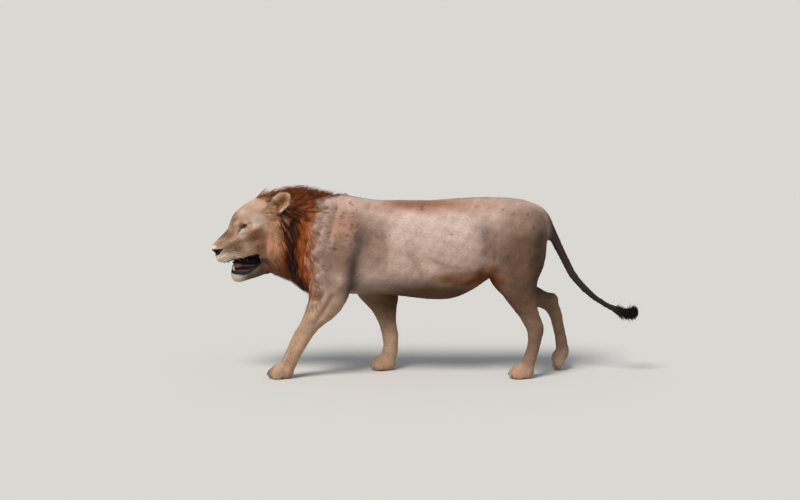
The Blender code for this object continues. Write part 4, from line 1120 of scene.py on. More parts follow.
def ear_marks(colour, places):
    """Tan ears with painted shade in the hollow, painted shadow at the root, and a pale rim
    brightened by a painted highlight.
    """
    ear = ear_share(places)
    if not ear.any():
        return colour
    share, wide, before = ear_places(places)
    tan = np.tile(COAT["ear"], (len(places), 1))
    # painted shadow at the root of the ear's hollow
    inner = lay(tan, COAT["ear root shadow"], 0.80 * ramp(share, 0.43, 0.30))
    # painted shade deep in the hollow
    deep = fade(np.abs(wide), 0.15, 0.55) * fade(share, 0.66, 0.88)
    inner = lay(inner, COAT["ear hollow shade"], 0.75 * deep)
    outer = lay(tan, COAT["ear back"], 0.9 * ramp(share, 0.86, 0.70))
    both = lay(outer, inner, ramp(before, -0.003, 0.003))
    # pale rim hair, brightened by a painted highlight
    edge = ramp(np.abs(wide), 0.50, 0.76) * ramp(share, 0.30, 0.45)
    edge = np.maximum(edge, ramp(share, 0.84, 0.94))
    return lay(colour, lay(both, COAT["ear rim and highlight"], 0.9 * edge), ear)


def coat_colour(places):
    """Linear colour of the coat at places on its outer form."""
    colour = face_marks(body_colour(places), places)
    colour = colour * mottling(places)[:, None]
    for marks in (spot_marks, muzzle_marks, mane_marks, tail_marks, ear_marks):
        colour = marks(colour, places)
    return colour


def paint(mesh, colours, tips):
    """Keeps a colour and a share of the hair's length at each point of a mesh."""
    layer = mesh.attributes.new("Coat", "FLOAT_COLOR", "POINT")
    opaque = np.concatenate([colours, np.ones((len(colours), 1))], 1)
    layer.data.foreach_set("color", opaque.ravel())
    layer = mesh.attributes.new("Tip", "FLOAT", "POINT")
    layer.data.foreach_set("value", tips)


BARE_BLACK = linear("0b0909")
# the roof and floor of the mouth are painted near black, as the shade inside it
LINING_SHADE = linear("1c0e0d")
skin_colour = lay(coat_colour(hull), BARE_BLACK, BARE)
skin_colour = lay(skin_colour, LINING_SHADE, lining * 0.8)
paint(skin.data, skin_colour, np.zeros(len(hull)))
layer = skin.data.attributes.new("Bare", "FLOAT", "POINT")
layer.data.foreach_set("value", BARE)
print("painted", len(hull), "points")

# %% [markdown]
# ## The hair's finish
# Hair is keratin: matt, with fine streaks along it. Between the tufts, short hair lies so flat
# that only this grain shows. Noise stretched in the direction of the hair gives it, both as a
# change of tone and as bump. Real grain is far below a millimetre, too fine to show, so it is
# drawn 4 to 6 mm coarse.


# %% Hair material
def wire_hair(tree, grain_mm, stretch, tone, bump, tip_tone):
    """The nodes that give lion hair its tone and grain: a colour and a normal."""
    colour = add(tree, "Attribute", {"attribute_name": "Coat"}).outputs["Color"]
    tip = add(tree, "Attribute", {"attribute_name": "Tip"}).outputs["Fac"]
    place = add(tree, "TexCoord").outputs["Object"]
    per_metre = tuple(1000 / grain_mm * share for share in stretch)
    lined = add(tree, "Mapping", {"Scale": per_metre}, {"Vector": place}).outputs["Vector"]
    fine = {"Scale": 1.0, "Detail": 3.0}
    grain = add(tree, "TexNoise", fine, {"Vector": lined}).outputs["Fac"]
    broad = {"Scale": 11.0, "Detail": 5.0, "Roughness": 0.65}  # patches some 90 mm wide
    mottle = add(tree, "TexNoise", broad, {"Vector": place}).outputs["Fac"]
    product = None
    for source, low, high, least, most in (
        (grain, 0.3, 0.7, 1 - tone, 1 + tone),
        (mottle, 0.3, 0.7, 0.86, 1.12),
        (tip, 0.0, 1.0, 1 - tip_tone, 1 + tip_tone),
    ):
        limits = {"From Min": low, "From Max": high, "To Min": least, "To Max": most}
        share = add(tree, "MapRange", limits, {"Value": source}).outputs["Result"]
        if product:
            times = {0: product, 1: share}
            share = add(tree, "Math", {"operation": "MULTIPLY"}, times).outputs[0]
        product = share
    toned = add(tree, "VectorMath", {"operation": "SCALE"}, {"Vector": colour, "Scale": product})
    relief = add(tree, "Bump", {"Strength": bump, "Distance": 0.002}, {"Height": grain})
    return {"Base Color": toned.outputs["Vector"], "Normal": relief.outputs["Normal"]}


def hair_finish(name, roughness, *grain):
    """Lion hair, with so many millimetres of grain, its stretch, and how it varies."""
    settings = {"Roughness": roughness, "Specular IOR Level": 0.2, "IOR": 1.55}
    return surface(name, settings, lambda tree: wire_hair(tree, *grain))


tuft_hair = hair_finish("short_lion_hair_tufts", 0.85, 6.0, (0.3, 1.0, 0.8), 0.14, 0.2, 0.07)
mane_hair = hair_finish("lion_mane_hair", 0.60, 5.0, (0.8, 1.0, 0.2), 0.25, 0.3, 0.18)
print("tuft and mane hair")

# %% [markdown]
# The hide itself carries the same hair, and the bare skin of nose and lips. Nose leather is dry,
# black and pebbled like a fine football. Where the mask says bare, the bump changes from hair
# grain to pebbles, and the surface turns glossier.


# %% Hide material
PEBBLE_MM = 1.6
HAIR_ROUGHNESS, BARE_ROUGHNESS = 0.85, 0.52


def wire_hide(tree):
    """Hair grain, and pebbled leather where the mask says bare."""
    hair = wire_hair(tree, 4.0, (0.25, 1.0, 0.8), 0.20, 0.45, 0.0)
    bare = add(tree, "Attribute", {"attribute_name": "Bare"}).outputs["Fac"]
    place = add(tree, "TexCoord").outputs["Object"]
    pebbles = add(tree, "TexVoronoi", {"Scale": 1000 / PEBBLE_MM}, {"Vector": place})
    dents = {"Strength": 0.35, "Distance": 0.0004, "invert": True}
    leather = add(tree, "Bump", dents, {"Height": pebbles.outputs["Distance"]}).outputs["Normal"]
    bumps = {"Factor": bare, 4: hair["Normal"], 5: leather}
    normal = add(tree, "Mix", {"data_type": "VECTOR"}, bumps).outputs[1]
    limits = {"To Min": HAIR_ROUGHNESS, "To Max": BARE_ROUGHNESS}
    gloss = add(tree, "MapRange", limits, {"Value": bare}).outputs["Result"]
    return {**hair, "Normal": normal, "Roughness": gloss}


hide = surface("lion_hide_with_short_hair", {"Specular IOR Level": 0.25, "IOR": 1.45}, wire_hide)
skin.data.materials.clear()
skin.data.materials.append(hide)
skin.data.polygons.foreach_set("material_index", [0] * len(skin.data.polygons))
print("hide")

# %% [markdown]
# ## Which way the hair lies
# Stroke a cat from nose to tail and you feel the lie of the coat: back over the face, back and
# down over the flanks, down the legs, along the tail. In the mane it stands up along the crest and
# hangs down below the ears. Tufts laid any other way look like grass.


# %% The lie of the coat
TAIL_LINE = [middle(name) for name in ("tail_base", "tail_middle", "tail_end", "tail_tuft")]


def lie(places, normals):
    """Unit directions along the skin in which the hair lies."""
    x, y, z = places.T
    sign = np.sign(y - MIDDLE_Y + 1e-6)
    out = np.abs(y - MIDDLE_Y)
    back, _, up = head_places(places)
    flow = np.stack([1 + 0 * x, 0 * x, -0.12 - 0.45 * ramp(z, 0.95, 0.75) * ramp(z, 0.45, 0.60)], 1)
    leg = ramp(z, 0.62, 0.42) * ramp(out, 0.03, 0.08)
    flow = lay(flow, np.array([0.12, 0.0, -1.0]), leg)
    thigh = patch(places, (0.52, 0.15, 0.68), (0.24, 0.2, 0.26))
    flow = lay(flow, np.array([0.45, 0.0, -0.9]), thigh)
    radiating = BACK + (0.5 * ramp(back, 0.0, 0.12) * (out / 0.12) * sign)[:, None] * SIDE
    radiating = radiating + (1.6 * np.clip(up, -0.1, 0.1) - 0.10)[:, None] * UP
    flow = lay(flow, unit(radiating), face_share(places))
    angle = np.interp(z, [0.74, 0.84, 0.91, 0.96, 1.0], [-1.45, -1.25, -0.50, 0.35, 0.95])
    hanging = np.stack([np.cos(angle), 0 * x, np.sin(angle)], 1)
    share = np.clip(mane_share(places) * 1.2, 0, 1)
    flow = lay(flow, hanging, share)
    ear = ear_share(places)
    flow = lay(flow, np.array([0.64, 0.0, 0.62]), ear)
    flow[:, 1] += 0.45 * sign * ear
    tail = ramp(x, 0.65, 0.69) * fade(out, 0.040, 0.065)
    for start, end in zip(TAIL_LINE, TAIL_LINE[1:]):
        beyond = tail * ramp(x, start[0] - 0.03, start[0] + 0.03)
        flow = lay(flow, unit(end - start), beyond)
    flow = flow - (flow * normals).sum(1)[:, None] * normals
    return unit(flow)


flow = lie(hull, sheet.normals())
print("hair on the flank lies along", flow[np.abs(hull[:, 0]) < 0.2].mean(0).round(2))

# %% [markdown]
# ## Roots
# Hair is spread over the skin by area, and thicker where a density function says so. The draw is
# seeded, so that every run grows the same coat.

# %% Spread roots over the skin
skin_normals = sheet.normals()
skin.data.calc_loop_triangles()
TRIANGLES = read(skin.data.loop_triangles, "vertices", 3, int)
TRIANGLE_LOOPS = read(skin.data.loop_triangles, "loops", 3, int)
UNWRAPPED = read(skin.data.uv_layers["OFBake"].data, "uv", 2)
CORNERS = sheet.places[TRIANGLES]
SPANS = np.cross(CORNERS[:, 1] - CORNERS[:, 0], CORNERS[:, 2] - CORNERS[:, 0])
AREAS = np.linalg.norm(SPANS, axis=1) / 2
print("skin area", round(AREAS.sum(), 2), "m2 in", len(AREAS), "triangles")


def spread(count, density, seed):
    """Roots on the skin: where they stand, their outer place, normal, spot on the map and depth."""
    draw = np.random.default_rng(seed)
    weight = AREAS * density[TRIANGLES].mean(1)
    steps = np.cumsum(weight) / weight.sum()
    picks = np.searchsorted(steps, (np.arange(count) + draw.random(count)) / count)
    picks = np.clip(picks, 0, len(weight) - 1)
    first, second = draw.random(count), draw.random(count)
    fold = first + second > 1
    first[fold], second[fold] = 1 - first[fold], 1 - second[fold]
    shares = np.stack([1 - first - second, first, second], 1)[:, :, None]
    corners = TRIANGLES[picks]
    return {
        "place": (sheet.places[corners] * shares).sum(1),
        "outer": (hull[corners] * shares).sum(1),
        "normal": unit((skin_normals[corners] * shares).sum(1)),
        "depth": (depth[corners] * shares[:, :, 0]).sum(1),
        "map": (UNWRAPPED[TRIANGLE_LOOPS[picks]] * shares).sum(1),
        "draw": draw,
    }


# %% [markdown]
# ## Short tufts
# Where short hair breaks the outline it does so as small flat points. Each is a sliver with four
# faces: two corners at the waist, one at the root, and a tip. More than a hundred thousand of them
# are written into a few meshes as arrays, which takes Blender a moment, where as many objects
# would take hours.

# %% Many copies of one small form
MAP_SPOT = 0.003
MOST_TRIANGLES = 190_000
TUFT_ROOT, LOCK_ROOT = 0.0003, 0.002  # how deep in the skin they are rooted


def in_pieces(name, form, points, tints, roots, material, smooth=False):
    """Writes copies of one small form as meshes of a size that other programs can read.

    The form is its triangles, how far up the hair each point is, and each point's spot on the map.
    """
    triangles, tips, spots = form
    count, each = points.shape[:2]
    share = MOST_TRIANGLES // len(triangles)
    for part, first in enumerate(range(0, count, share), 1):
        some = slice(first, min(first + share, count))
        number = some.stop - some.start
        faces = (triangles[None] + each * np.arange(number)[:, None, None]).reshape(-1, 3)
        mesh = bpy.data.meshes.new(f"{name}_{part}")
        mesh.vertices.add(each * number)
        mesh.vertices.foreach_set("co", points[some].ravel())
        mesh.loops.add(faces.size)
        mesh.loops.foreach_set("vertex_index", faces.ravel())
        mesh.polygons.add(len(faces))
        mesh.polygons.foreach_set("loop_start", np.arange(0, faces.size, 3))
        mesh.polygons.foreach_set("use_smooth", [smooth] * len(faces))
        mesh.update(calc_edges=True)
        paint(mesh, np.repeat(tints[some], each, 0), np.tile(tips, number))
        layer = mesh.uv_layers.new(name="OFBake")
        spot = (roots["map"][some][:, None] + spots[None]).reshape(-1, 2)
        layer.data.foreach_set("uv", spot[faces.ravel()].ravel())
        piece = show(f"{name}_{part}", mesh, material)
        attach(piece, "root")
    print(name, count, "hairs in", part, "pieces")


# %% Tufts of short hair
TUFT = (
    np.array([(0, 3, 1), (0, 2, 3), (0, 1, 2), (1, 3, 2)]),
    np.array([0.0, 0.4, 0.4, 1.0]),
    np.array([(0.0, -0.5), (-0.5, 0.0), (0.5, 0.0), (0.0, 0.5)]) * MAP_SPOT,
)


def tufts(name, roots, length, width, lift, spray=0.35, shade=0.12):
    """Slivers of hair at the roots. Length and width in metres, lift as a slope off the skin."""
    draw, count = roots["draw"], len(roots["place"])
    normal = roots["normal"]
    along = lie(roots["outer"], normal)
    across = np.cross(normal, along)
    along = unit(along + across * draw.normal(0, spray, count)[:, None])
    across = np.cross(normal, along)
    size = draw.uniform(0.7, 1.25, count)[:, None]
    length, width = (np.broadcast_to(v, count)[:, None] * size for v in (length, width))
    slope = np.broadcast_to(lift, count)[:, None] * draw.uniform(0.5, 1.5, count)[:, None]
    low = roots["place"] - normal * TUFT_ROOT
    waist = low + along * length * 0.4 + normal * (length * 0.4 * slope * 0.5)
    tip = low + along * length + normal * (length * slope)
    points = np.stack([low, waist - across * width / 2, waist + across * width / 2, tip], 1)
    tints = coat_colour(roots["outer"]) * draw.uniform(1 - shade, 1 + shade, count)[:, None]
    in_pieces(name, TUFT, keep_inside(points, 0.0002), tints, roots, tuft_hair)


in_face = face_share(hull)
off_mane = 1 - 0.97 * mane_share(hull)
haired = fade(BARE, 0.02, 0.20)
sole = fade(hull[:, 2], 0.006, 0.012)
body_density = off_mane * (1 - in_face) * (1 - 0.95 * tuft_share(hull))
body_density = body_density * (1 - ear_share(hull)) * (1 - sole)
body_density = body_density * (1 + 1.2 * ramp(hull[:, 2], 0.16, 0.08))
roots = spread(100_000, body_density, 11)
x, y, z = roots["outer"].T
size = 0.0130 - 0.0060 * ramp(z, 0.30, 0.12) - 0.003 * ramp(x, 0.66, 0.72) * ramp(z, 0.25, 0.30)
size = size + 0.014 * ramp(x, -0.50, -0.58) * ramp(z, 0.45, 0.55)
tufts("body_coat", roots, size, 0.0026, 0.11, spray=0.20, shade=0.09)

face_density = in_face * off_mane * haired * (1 - ear_share(hull)) * (1 - lining)
face_density = face_density * (1 - near_eyes(hull, 0.0215))
roots = spread(50_000, face_density, 12)
back, side, up = head_places(roots["outer"])
size = 0.0042 + 0.0050 * ramp(back, 0.06, 0.30)
size = size + 0.016 * ramp(back, 0.28, 0.37) * ramp(up, 0.10, 0.02)
size = size + 0.012 * ramp(back, 0.30, 0.38) * ramp(up, 0.12, 0.16)
tufts("face_coat", roots, size, 0.0016, 0.13, spray=0.20, shade=0.07)

roots = spread(8_000, ear_share(hull), 13)
inside = ear_places(roots["outer"])[2] > 0
tufts("ear_coat", roots, np.where(inside, 0.017, 0.008), 0.0015, np.where(inside, 0.28, 0.14))
print("short coat after", round(time.time() - STARTED, 1), "s")

# %% [markdown]
# ## Locks
# Long hair can't be a sliver, because it bends. A lock follows a line: it leaves the hide, rises
# through the coat, and then runs along the outer form in the lie of the coat, which is found step
# by step. The lock itself is a flat tube round that line, closed at the root, widest low down, and
# drawn to a point.

# %% Trace the lines of long hair
outer_tree = BVHTree.FromPolygons([Vector(p) for p in hull], TRIANGLES.tolist())


def on_outer(places):
    """The nearest places on the outer form, and the normals there."""
    found = [outer_tree.find_nearest(Vector(p))[:2] for p in places]
    return np.array([p for p, _ in found]), np.array([n for _, n in found])


LOCK_STEPS = 6


def trace(roots, length, rise, steps, stray):
    """Lines of long hair: from each root up through the coat, then along the outer form."""
    draw, count = roots["draw"], len(roots["place"])
    length = np.broadcast_to(length, count)[:, None]
    rise = np.broadcast_to(rise, count)[:, None]
    turn = draw.normal(0, stray, count)[:, None]
    sway = draw.normal(0, stray * 1.2, count)[:, None]
    place, normal = on_outer(roots["outer"])
    lines, normals = [roots["place"] - roots["normal"] * LOCK_ROOT], [normal]
    for step in range(1, steps):
        done = step / (steps - 1)
        along = lie(place, normal)
        across = np.cross(normal, along)
        along = unit(along + across * (turn + sway * math.sin(3.0 * done)))
        place, normal = on_outer(place + along * length / (steps - 1))
        reached = rise * (1 - (1 - done) ** 1.8)
        under = np.minimum(roots["depth"], coat_depth(place) + 0.003)[:, None] * (1 - reached)
        lines.append(place - normal * under)
        normals.append(normal)
    return np.stack(lines, 1), np.stack(normals, 1)


LOCK_SIDES = 3


def ring_turns(sides):
    """Equal turns once round."""
    return np.arange(sides) * 2 * math.pi / sides


def tube_faces(rings, sides, closed=False):
    """Faces with four corners between rings of points that follow one another."""
    faces = []
    for ring in range(rings if closed else rings - 1):
        climb = ((ring + 1) % rings - ring) * sides
        for turn in range(sides):
            a, b = ring * sides + turn, ring * sides + (turn + 1) % sides
            faces.append((a, b, b + climb, a + climb))
    return faces


def locks(name, roots, lines, normals, width, flat, tints):
    """Flat pointed tubes round the lines."""
    count, steps = lines.shape[:2]
    along = unit(np.gradient(lines, axis=1))
    across = unit(np.cross(normals, along))
    upward = np.cross(along, across)
    done = np.linspace(0, 1, steps)[:-1]
    profile = (0.55 + 1.6 * done) * (1 - done) ** 0.8
    turns = ring_turns(LOCK_SIDES)
    ring_across = np.cos(turns)[None, None, :, None] * across[:, :-1, None]
    ring_up = np.sin(turns)[None, None, :, None] * upward[:, :-1, None] * flat
    half = (width[:, None] / 2 * profile[None])[:, :, None, None]
    rings = lines[:, :-1, None] + (ring_across + ring_up) * half
    points = np.concatenate([rings.reshape(count, -1, 3), lines[:, -1:]], 1)
    tip = points.shape[1] - 1
    last = tip - LOCK_SIDES
    walls = tube_faces(steps - 1, LOCK_SIDES)
    faces = [half for a, b, c, d in walls for half in ((a, b, c), (a, c, d))]
    faces += [(last + turn, last + (turn + 1) % LOCK_SIDES, tip) for turn in range(LOCK_SIDES)]
    faces += [(0, turn + 1, turn) for turn in range(1, LOCK_SIDES - 1)]
    tips = np.concatenate([np.repeat(done, LOCK_SIDES), [1.0]])
    ring_spot = np.stack([np.cos(turns), np.sin(turns)], 1) * 0.5
    spots = np.concatenate([*(ring_spot * (1 - 0.8 * d) for d in done), [[0, 0]]])
    form = np.array(faces), tips, spots * MAP_SPOT
    in_pieces(name, form, points, tints, roots, mane_hair, smooth=True)


# %% [markdown]
# ## Clumps
# Mane hair isn't combed: it gathers into clumps that come to a point together. So a few hundred
# guide lines are traced first, and each strand then follows the guide nearest to its root,
# drifting closer to it towards the tip. A clump shares a tint, and each strand varies it a little.


# %% Strands that follow guides
BATCH = 2_000  # strands compared with the guides at a time, which bounds the memory used


def follow(guides, guide_lines, guide_normals, strands, gather, loose):
    """Lines for strands: each keeps its own root and drifts towards its guide."""
    draw, count = strands["draw"], len(strands["place"])
    nearest = np.empty(count, int)
    for first in range(0, count, BATCH):
        some = slice(first, first + BATCH)
        gap = ((strands["place"][some, None] - guides["place"][None]) ** 2).sum(2)
        nearest[some] = gap.argmin(1)
    lines, normals = guide_lines[nearest], guide_normals[nearest]
    steps = lines.shape[1]
    done = np.linspace(0, 1, steps)[None, :, None]
    own = strands["place"] - guides["place"][nearest]
    own = own - 0.7 * (own * normals[:, -1]).sum(1)[:, None] * normals[:, -1]
    lines = lines + own[:, None] * (1 - gather * done**1.3)
    shorter = draw.uniform(0.72, 1.0, count)[:, None, None]
    lines = lines[:, :1] + (lines - lines[:, :1]) * shorter
    wander = draw.normal(0, 1, (count, 1, 3)) * loose * done**1.5
    sink = draw.uniform(0, 1, count)[:, None, None] * strands["depth"][:, None, None] * 0.30 * done
    return lines + wander - normals * sink, normals, nearest


def clumps(name, guides, guide_lines, guide_normals, strands, gather, tinting, widest, flat):
    """Locks in clumps. Tinting is how dark and light a clump may be, and each strand in it."""
    lines, normals, nearest = follow(guides, guide_lines, guide_normals, strands, gather, 0.006)
    own = strands["draw"]
    tint = guides["draw"].uniform(*tinting[0], len(guide_lines))[nearest]
    tint = tint * own.uniform(*tinting[1], len(nearest))
    tints = coat_colour(strands["outer"]) * tint[:, None]
    wide = own.uniform(0.0018, widest, len(nearest))
    locks(name, strands, keep_inside(lines), normals, wide, flat, tints)


# %% Ruff and bib
share = mane_growth(hull)
crest_part = ramp(hull[:, 2], 0.93, 0.97)
ruff_part = share * (1 - 0.85 * crest_part)
guides = spread(1_100, ruff_part, 21)
draw = guides["draw"]
x, y, z = guides["outer"].T
long = draw.uniform(0.085, 0.150, len(x)) * (0.62 + 0.38 * ramp(x, -0.84, -0.77))
long = long * (1 - 0.25 * ramp(x, -0.68, -0.60))
guide_lines, guide_normals = trace(guides, long, draw.uniform(0.70, 0.99, len(x)), LOCK_STEPS, 0.11)
strands = spread(20_000, ruff_part, 24)
tinting = (0.72, 1.25), (0.80, 1.20)
clumps("ruff", guides, guide_lines, guide_normals, strands, 0.62, tinting, 0.0040, 0.5)
print("ruff after", round(time.time() - STARTED, 1), "s")

# %% [markdown]
# The crest grows from the top of the neck and stands up, leaning back a little. Its hair runs from
# the hide straight to the outer form above it. Along the forehead it is short and thin, so the
# outline there is soft and broken.


# %% Crest
def arcs(roots, ends, bend):
    """Bowed lines from the roots to the ends."""
    done = np.linspace(0, 1, LOCK_STEPS)[None, :, None]
    middle_points = (roots["place"] + ends) / 2 + bend
    start = roots["place"] - roots["normal"] * LOCK_ROOT
    lines = (1 - done) ** 2 * start[:, None]
    return lines + 2 * done * (1 - done) * middle_points[:, None] + done**2 * ends[:, None]


def crest_ends(roots):
    """Where upright hair ends: near the outer form, leaning back."""
    draw, count = roots["draw"], len(roots["place"])
    rearward, sideways = draw.uniform(0.005, 0.065, count), draw.normal(0, 0.010, count)
    lean = np.stack([rearward, sideways, np.zeros(count)], 1)
    reach = 0.99 - 0.42 * draw.beta(1.3, 1.6, count)[:, None]
    return roots["place"] + (roots["outer"] - roots["place"]) * reach + lean


guides = spread(420, share * crest_part, 22)
guide_lines = arcs(guides, crest_ends(guides), np.array([-0.014, 0, 0.004]))
guide_normals = unit(np.cross(guide_lines[:, -1] - guide_lines[:, 0], SIDE))
guide_normals = np.repeat(guide_normals[:, None], LOCK_STEPS, 1)
strands = spread(7_000, share * crest_part, 25)
tinting = (0.65, 1.25), (0.75, 1.20)
clumps("crest", guides, guide_lines, guide_normals, strands, 0.55, tinting, 0.0038, 0.6)

# %% [markdown]
# The brush at the tail's end is black and stands out all round, longest at the tip. Its hair ends
# inside a round form, so that it makes a bulb and not a broom.

# %% Tail brush
BRUSH_HAIRS = 2_000
roots = spread(BRUSH_HAIRS, tuft_share(hull), 23)
draw = roots["draw"]
tail_way = unit(TAIL_LINE[3] - TAIL_LINE[2])
low, high = box_of("tail_tuft")
ends = roots["outer"] + np.outer(draw.uniform(0.0, 0.045, BRUSH_HAIRS), tail_way)
ends = ends + draw.normal(0, 0.006, (BRUSH_HAIRS, 3))
far = np.linalg.norm((ends - TAIL_TUFT) / (high - low) * 2, axis=1, keepdims=True)
reach = draw.uniform(0.70, 0.99, (BRUSH_HAIRS, 1))
ends = TAIL_TUFT + (ends - TAIL_TUFT) / np.maximum(far / reach, 1)
ends = TAIL_TUFT + (ends - TAIL_TUFT) * np.array([1.0, 1.35, 1.6])
lines = arcs(roots, ends, np.outer(draw.uniform(0.0, 0.02, BRUSH_HAIRS), tail_way))
normals = np.repeat(roots["normal"][:, None], LOCK_STEPS, 1)
tints = coat_colour(roots["outer"]) * draw.uniform(0.6, 1.6, BRUSH_HAIRS)[:, None]
wide = draw.uniform(0.0025, 0.005, BRUSH_HAIRS)
locks("tail_brush", roots, keep_inside(lines, 0.0040), normals, wide, 0.5, tints)
print("long coat after", round(time.time() - STARTED, 1), "s")

# %% [markdown]
# ## Eyes
# A big cat's iris is amber with a round pupil, ringed dark where it meets the white, and hardly
# any white shows. Colour depends only on the angle from the line of sight, so the eyeball is
# turned with its pole along that line and coloured ring by ring. The clear cornea bulges a little
# and is wet: a clear coat on the shader gives its sharp glint.

# %% Eyeballs
def wire_eye(tree):
    """The painted rings of the iris, with flecks of about a millimetre."""
    colour = add(tree, "Attribute", {"attribute_name": "Coat"}).outputs["Color"]
    place = add(tree, "TexCoord").outputs["Object"]
    fine = {"Scale": 900.0, "Detail": 2.0}
    flecks = add(tree, "TexNoise", fine, {"Vector": place}).outputs["Fac"]
    limits = {"To Min": 0.75, "To Max": 1.3}
    tone = add(tree, "MapRange", limits, {"Value": flecks}).outputs["Result"]
    toned = add(tree, "VectorMath", {"operation": "SCALE"}, {"Vector": colour, "Scale": tone})
    return {"Base Color": toned.outputs["Vector"]}


wet = {"Roughness": 0.25, "IOR": 1.38}
cornea = {"Coat Weight": 1.0, "Coat Roughness": 0.03, "Coat IOR": 1.38}
wet_eye = surface("wet_amber_eye", {**wet, **cornea}, wire_eye)
EYE_RINGS = (
    # degrees from the line of sight, colour
    (0, "060504"),
    (10, "060504"),
    (11.5, "4e3214"),
    (15, "9a6a20"),
    (24, "7c5018"),
    (27.5, "3a2410"),
    (29, "120c08"),
    (38, "1a120e"),
    (55, "33261f"),
    (180, "33261f"),
)

EYE_TURNS = 40


def smooth_piece(name, points, faces, material, tints=None):
    """A smooth closed piece that rides on root, with its faces turned outwards."""
    mesh = bpy.data.meshes.new(name)
    mesh.from_pydata(points.tolist(), [], faces)
    if tints is not None:
        paint(mesh, tints, np.zeros(len(points)))
    work = bmesh.new()
    work.from_mesh(mesh)
    bmesh.ops.remove_doubles(work, verts=work.verts, dist=1e-6)
    bmesh.ops.recalc_face_normals(work, faces=work.faces)
    work.to_mesh(mesh)
    work.free()
    mesh.polygons.foreach_set("use_smooth", [True] * len(mesh.polygons))
    piece = show(name, mesh, material)
    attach(piece, "root")
    return piece


def rings_round(first, second, sides):
    """Round each place of a line, unit steps out to the sides of a ring across it."""
    turns = ring_turns(sides)
    return np.cos(turns)[None, :, None] * first + np.sin(turns)[None, :, None] * second


def eyeball(name, node, centre, gaze):
    """A smooth eyeball with its pole along the line of sight."""
    angles = np.radians(np.concatenate([np.arange(0, 40, 1.5), np.arange(40, 181, 7)]))
    angles[-1] = math.pi
    first = unit(np.cross(gaze, np.array([0, 0, 1.0])))
    second = np.cross(gaze, first)
    bulge = EYE_RADIUS * (1 + 0.05 * np.exp(-((np.degrees(angles) / 24) ** 2)))
    axial = (np.cos(angles) * bulge)[:, None, None] * gaze
    around = rings_round(first, second, EYE_TURNS)
    points = (centre + axial + (np.sin(angles) * bulge)[:, None, None] * around).reshape(-1, 3)
    tints = graded(np.repeat(np.degrees(angles), EYE_TURNS), EYE_RINGS)
    ball = smooth_piece(name, points, tube_faces(len(angles), EYE_TURNS), wet_eye, tints)
    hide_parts(node)


for which, word in ((-1, "left"), (1, "right")):
    gaze = unit(-0.72 * BACK + which * 0.68 * SIDE + 0.02 * UP)
    eyeball(f"{word}_eyeball", f"{word}_eye", EYES[which], gaze)
print("2 eyeballs")

# %% [markdown]
# The other finishes on him are wet skin, enamel and horn. Each has two tones that blotch into one
# another, and most have a fine relief that follows the same blotches, so one function wires them
# all.


# %% Finishes of two tones
def blotches(tree, per_metre, tones, detail=2.0):
    """Noise between two tones, with so many blotches to the metre along x, y and z."""
    place = add(tree, "TexCoord").outputs["Object"]
    scaled = add(tree, "Mapping", {"Scale": per_metre}, {"Vector": place}).outputs["Vector"]
    settings = {"Scale": 1.0, "Detail": detail}
    noise = add(tree, "TexNoise", settings, {"Vector": scaled}).outputs["Fac"]
    dark, light = ((*linear(code), 1) for code in tones.split())
    blend = {"data_type": "RGBA", 6: dark, 7: light}
    return place, noise, add(tree, "Mix", blend, {"Factor": noise}).outputs[2]


def blotched(name, settings, per_metre, tones, detail=2.0, bump=None):
    """A finish of a dark and a light tone. Bump is its strength, and its depth in metres."""

    def wire(tree):
        _, noise, shade = blotches(tree, per_metre, tones, detail)
        if not bump:
            return {"Base Color": shade}
        relief = add(tree, "Bump", {"Strength": bump[0], "Distance": bump[1]}, {"Height": noise})
        return {"Base Color": shade, "Normal": relief.outputs["Normal"]}

    return surface(name, settings, wire)


# bare black skin, wet with tears: pores 1.4 mm apart, a soft shine
wet = {"Roughness": 0.30, "IOR": 1.42}
pores = (700.0, 700.0, 700.0)
wet_skin = blotched("wet_black_skin", wet, pores, "0e0c0c 2a2422", 2.0, (0.25, 0.0004))
print("bare black skin")

# %% [markdown]
# The edges of the lids are bare, black and wet, and as thick as a bootlace. A round bead laid
# along the almond, half on the eyeball, gives that edge a clean line. The same bead, with a radius
# for each of its places, makes the lining of the mouth, the incisors, the claws and the whiskers
# below.


# %% A bead along a line
def bead(name, line, radii, material, closed=False, sides=10):
    """A round tube along a line of places, with a radius at each, closed at both ends."""
    line, count = np.array(line), len(line)
    if closed:
        along = unit(np.roll(line, -1, 0) - np.roll(line, 1, 0))
    else:
        along = unit(np.gradient(line, axis=0))
    guide = np.array([0.13, 0.21, 0.97]) if abs(along[0][2]) < 0.9 else np.array([1.0, 0.1, 0.1])
    first = unit(np.cross(along, guide))
    second = np.cross(along, first)
    radii = np.broadcast_to(radii, count)[:, None, None]
    rings = rings_round(first[:, None], second[:, None], sides)
    points = (line[:, None] + rings * radii).reshape(-1, 3)
    faces = [(a, d, c, b) for a, b, c, d in tube_faces(count, sides, closed)]
    if not closed:
        faces += [tuple(range(sides)), tuple((count - 1) * sides + i for i in range(sides))[::-1]]
    return smooth_piece(name, points, faces, material)


# %% Edges of the lids
LID_EDGE = 0.0016
for which, word in ((-1, "left"), (1, "right")):
    along_axis, up_axis, out_axis = eye_axes(which)
    sweep = np.linspace(0, 2 * math.pi, 72, endpoint=False)
    along = ALMOND_HALF * np.cos(sweep)
    top, bottom = almond(along)
    upward = np.where(np.sin(sweep) >= 0, top, bottom)
    outward = np.sqrt((EYE_RADIUS + 0.0011) ** 2 - along**2 - upward**2)
    line = EYES[which] + np.outer(along, along_axis) + np.outer(upward, up_axis)
    line = line + np.outer(outward, out_axis)
    bead(f"{word}_lid_edge", line, LID_EDGE, wet_skin, closed=True)
print("2 lid edges")

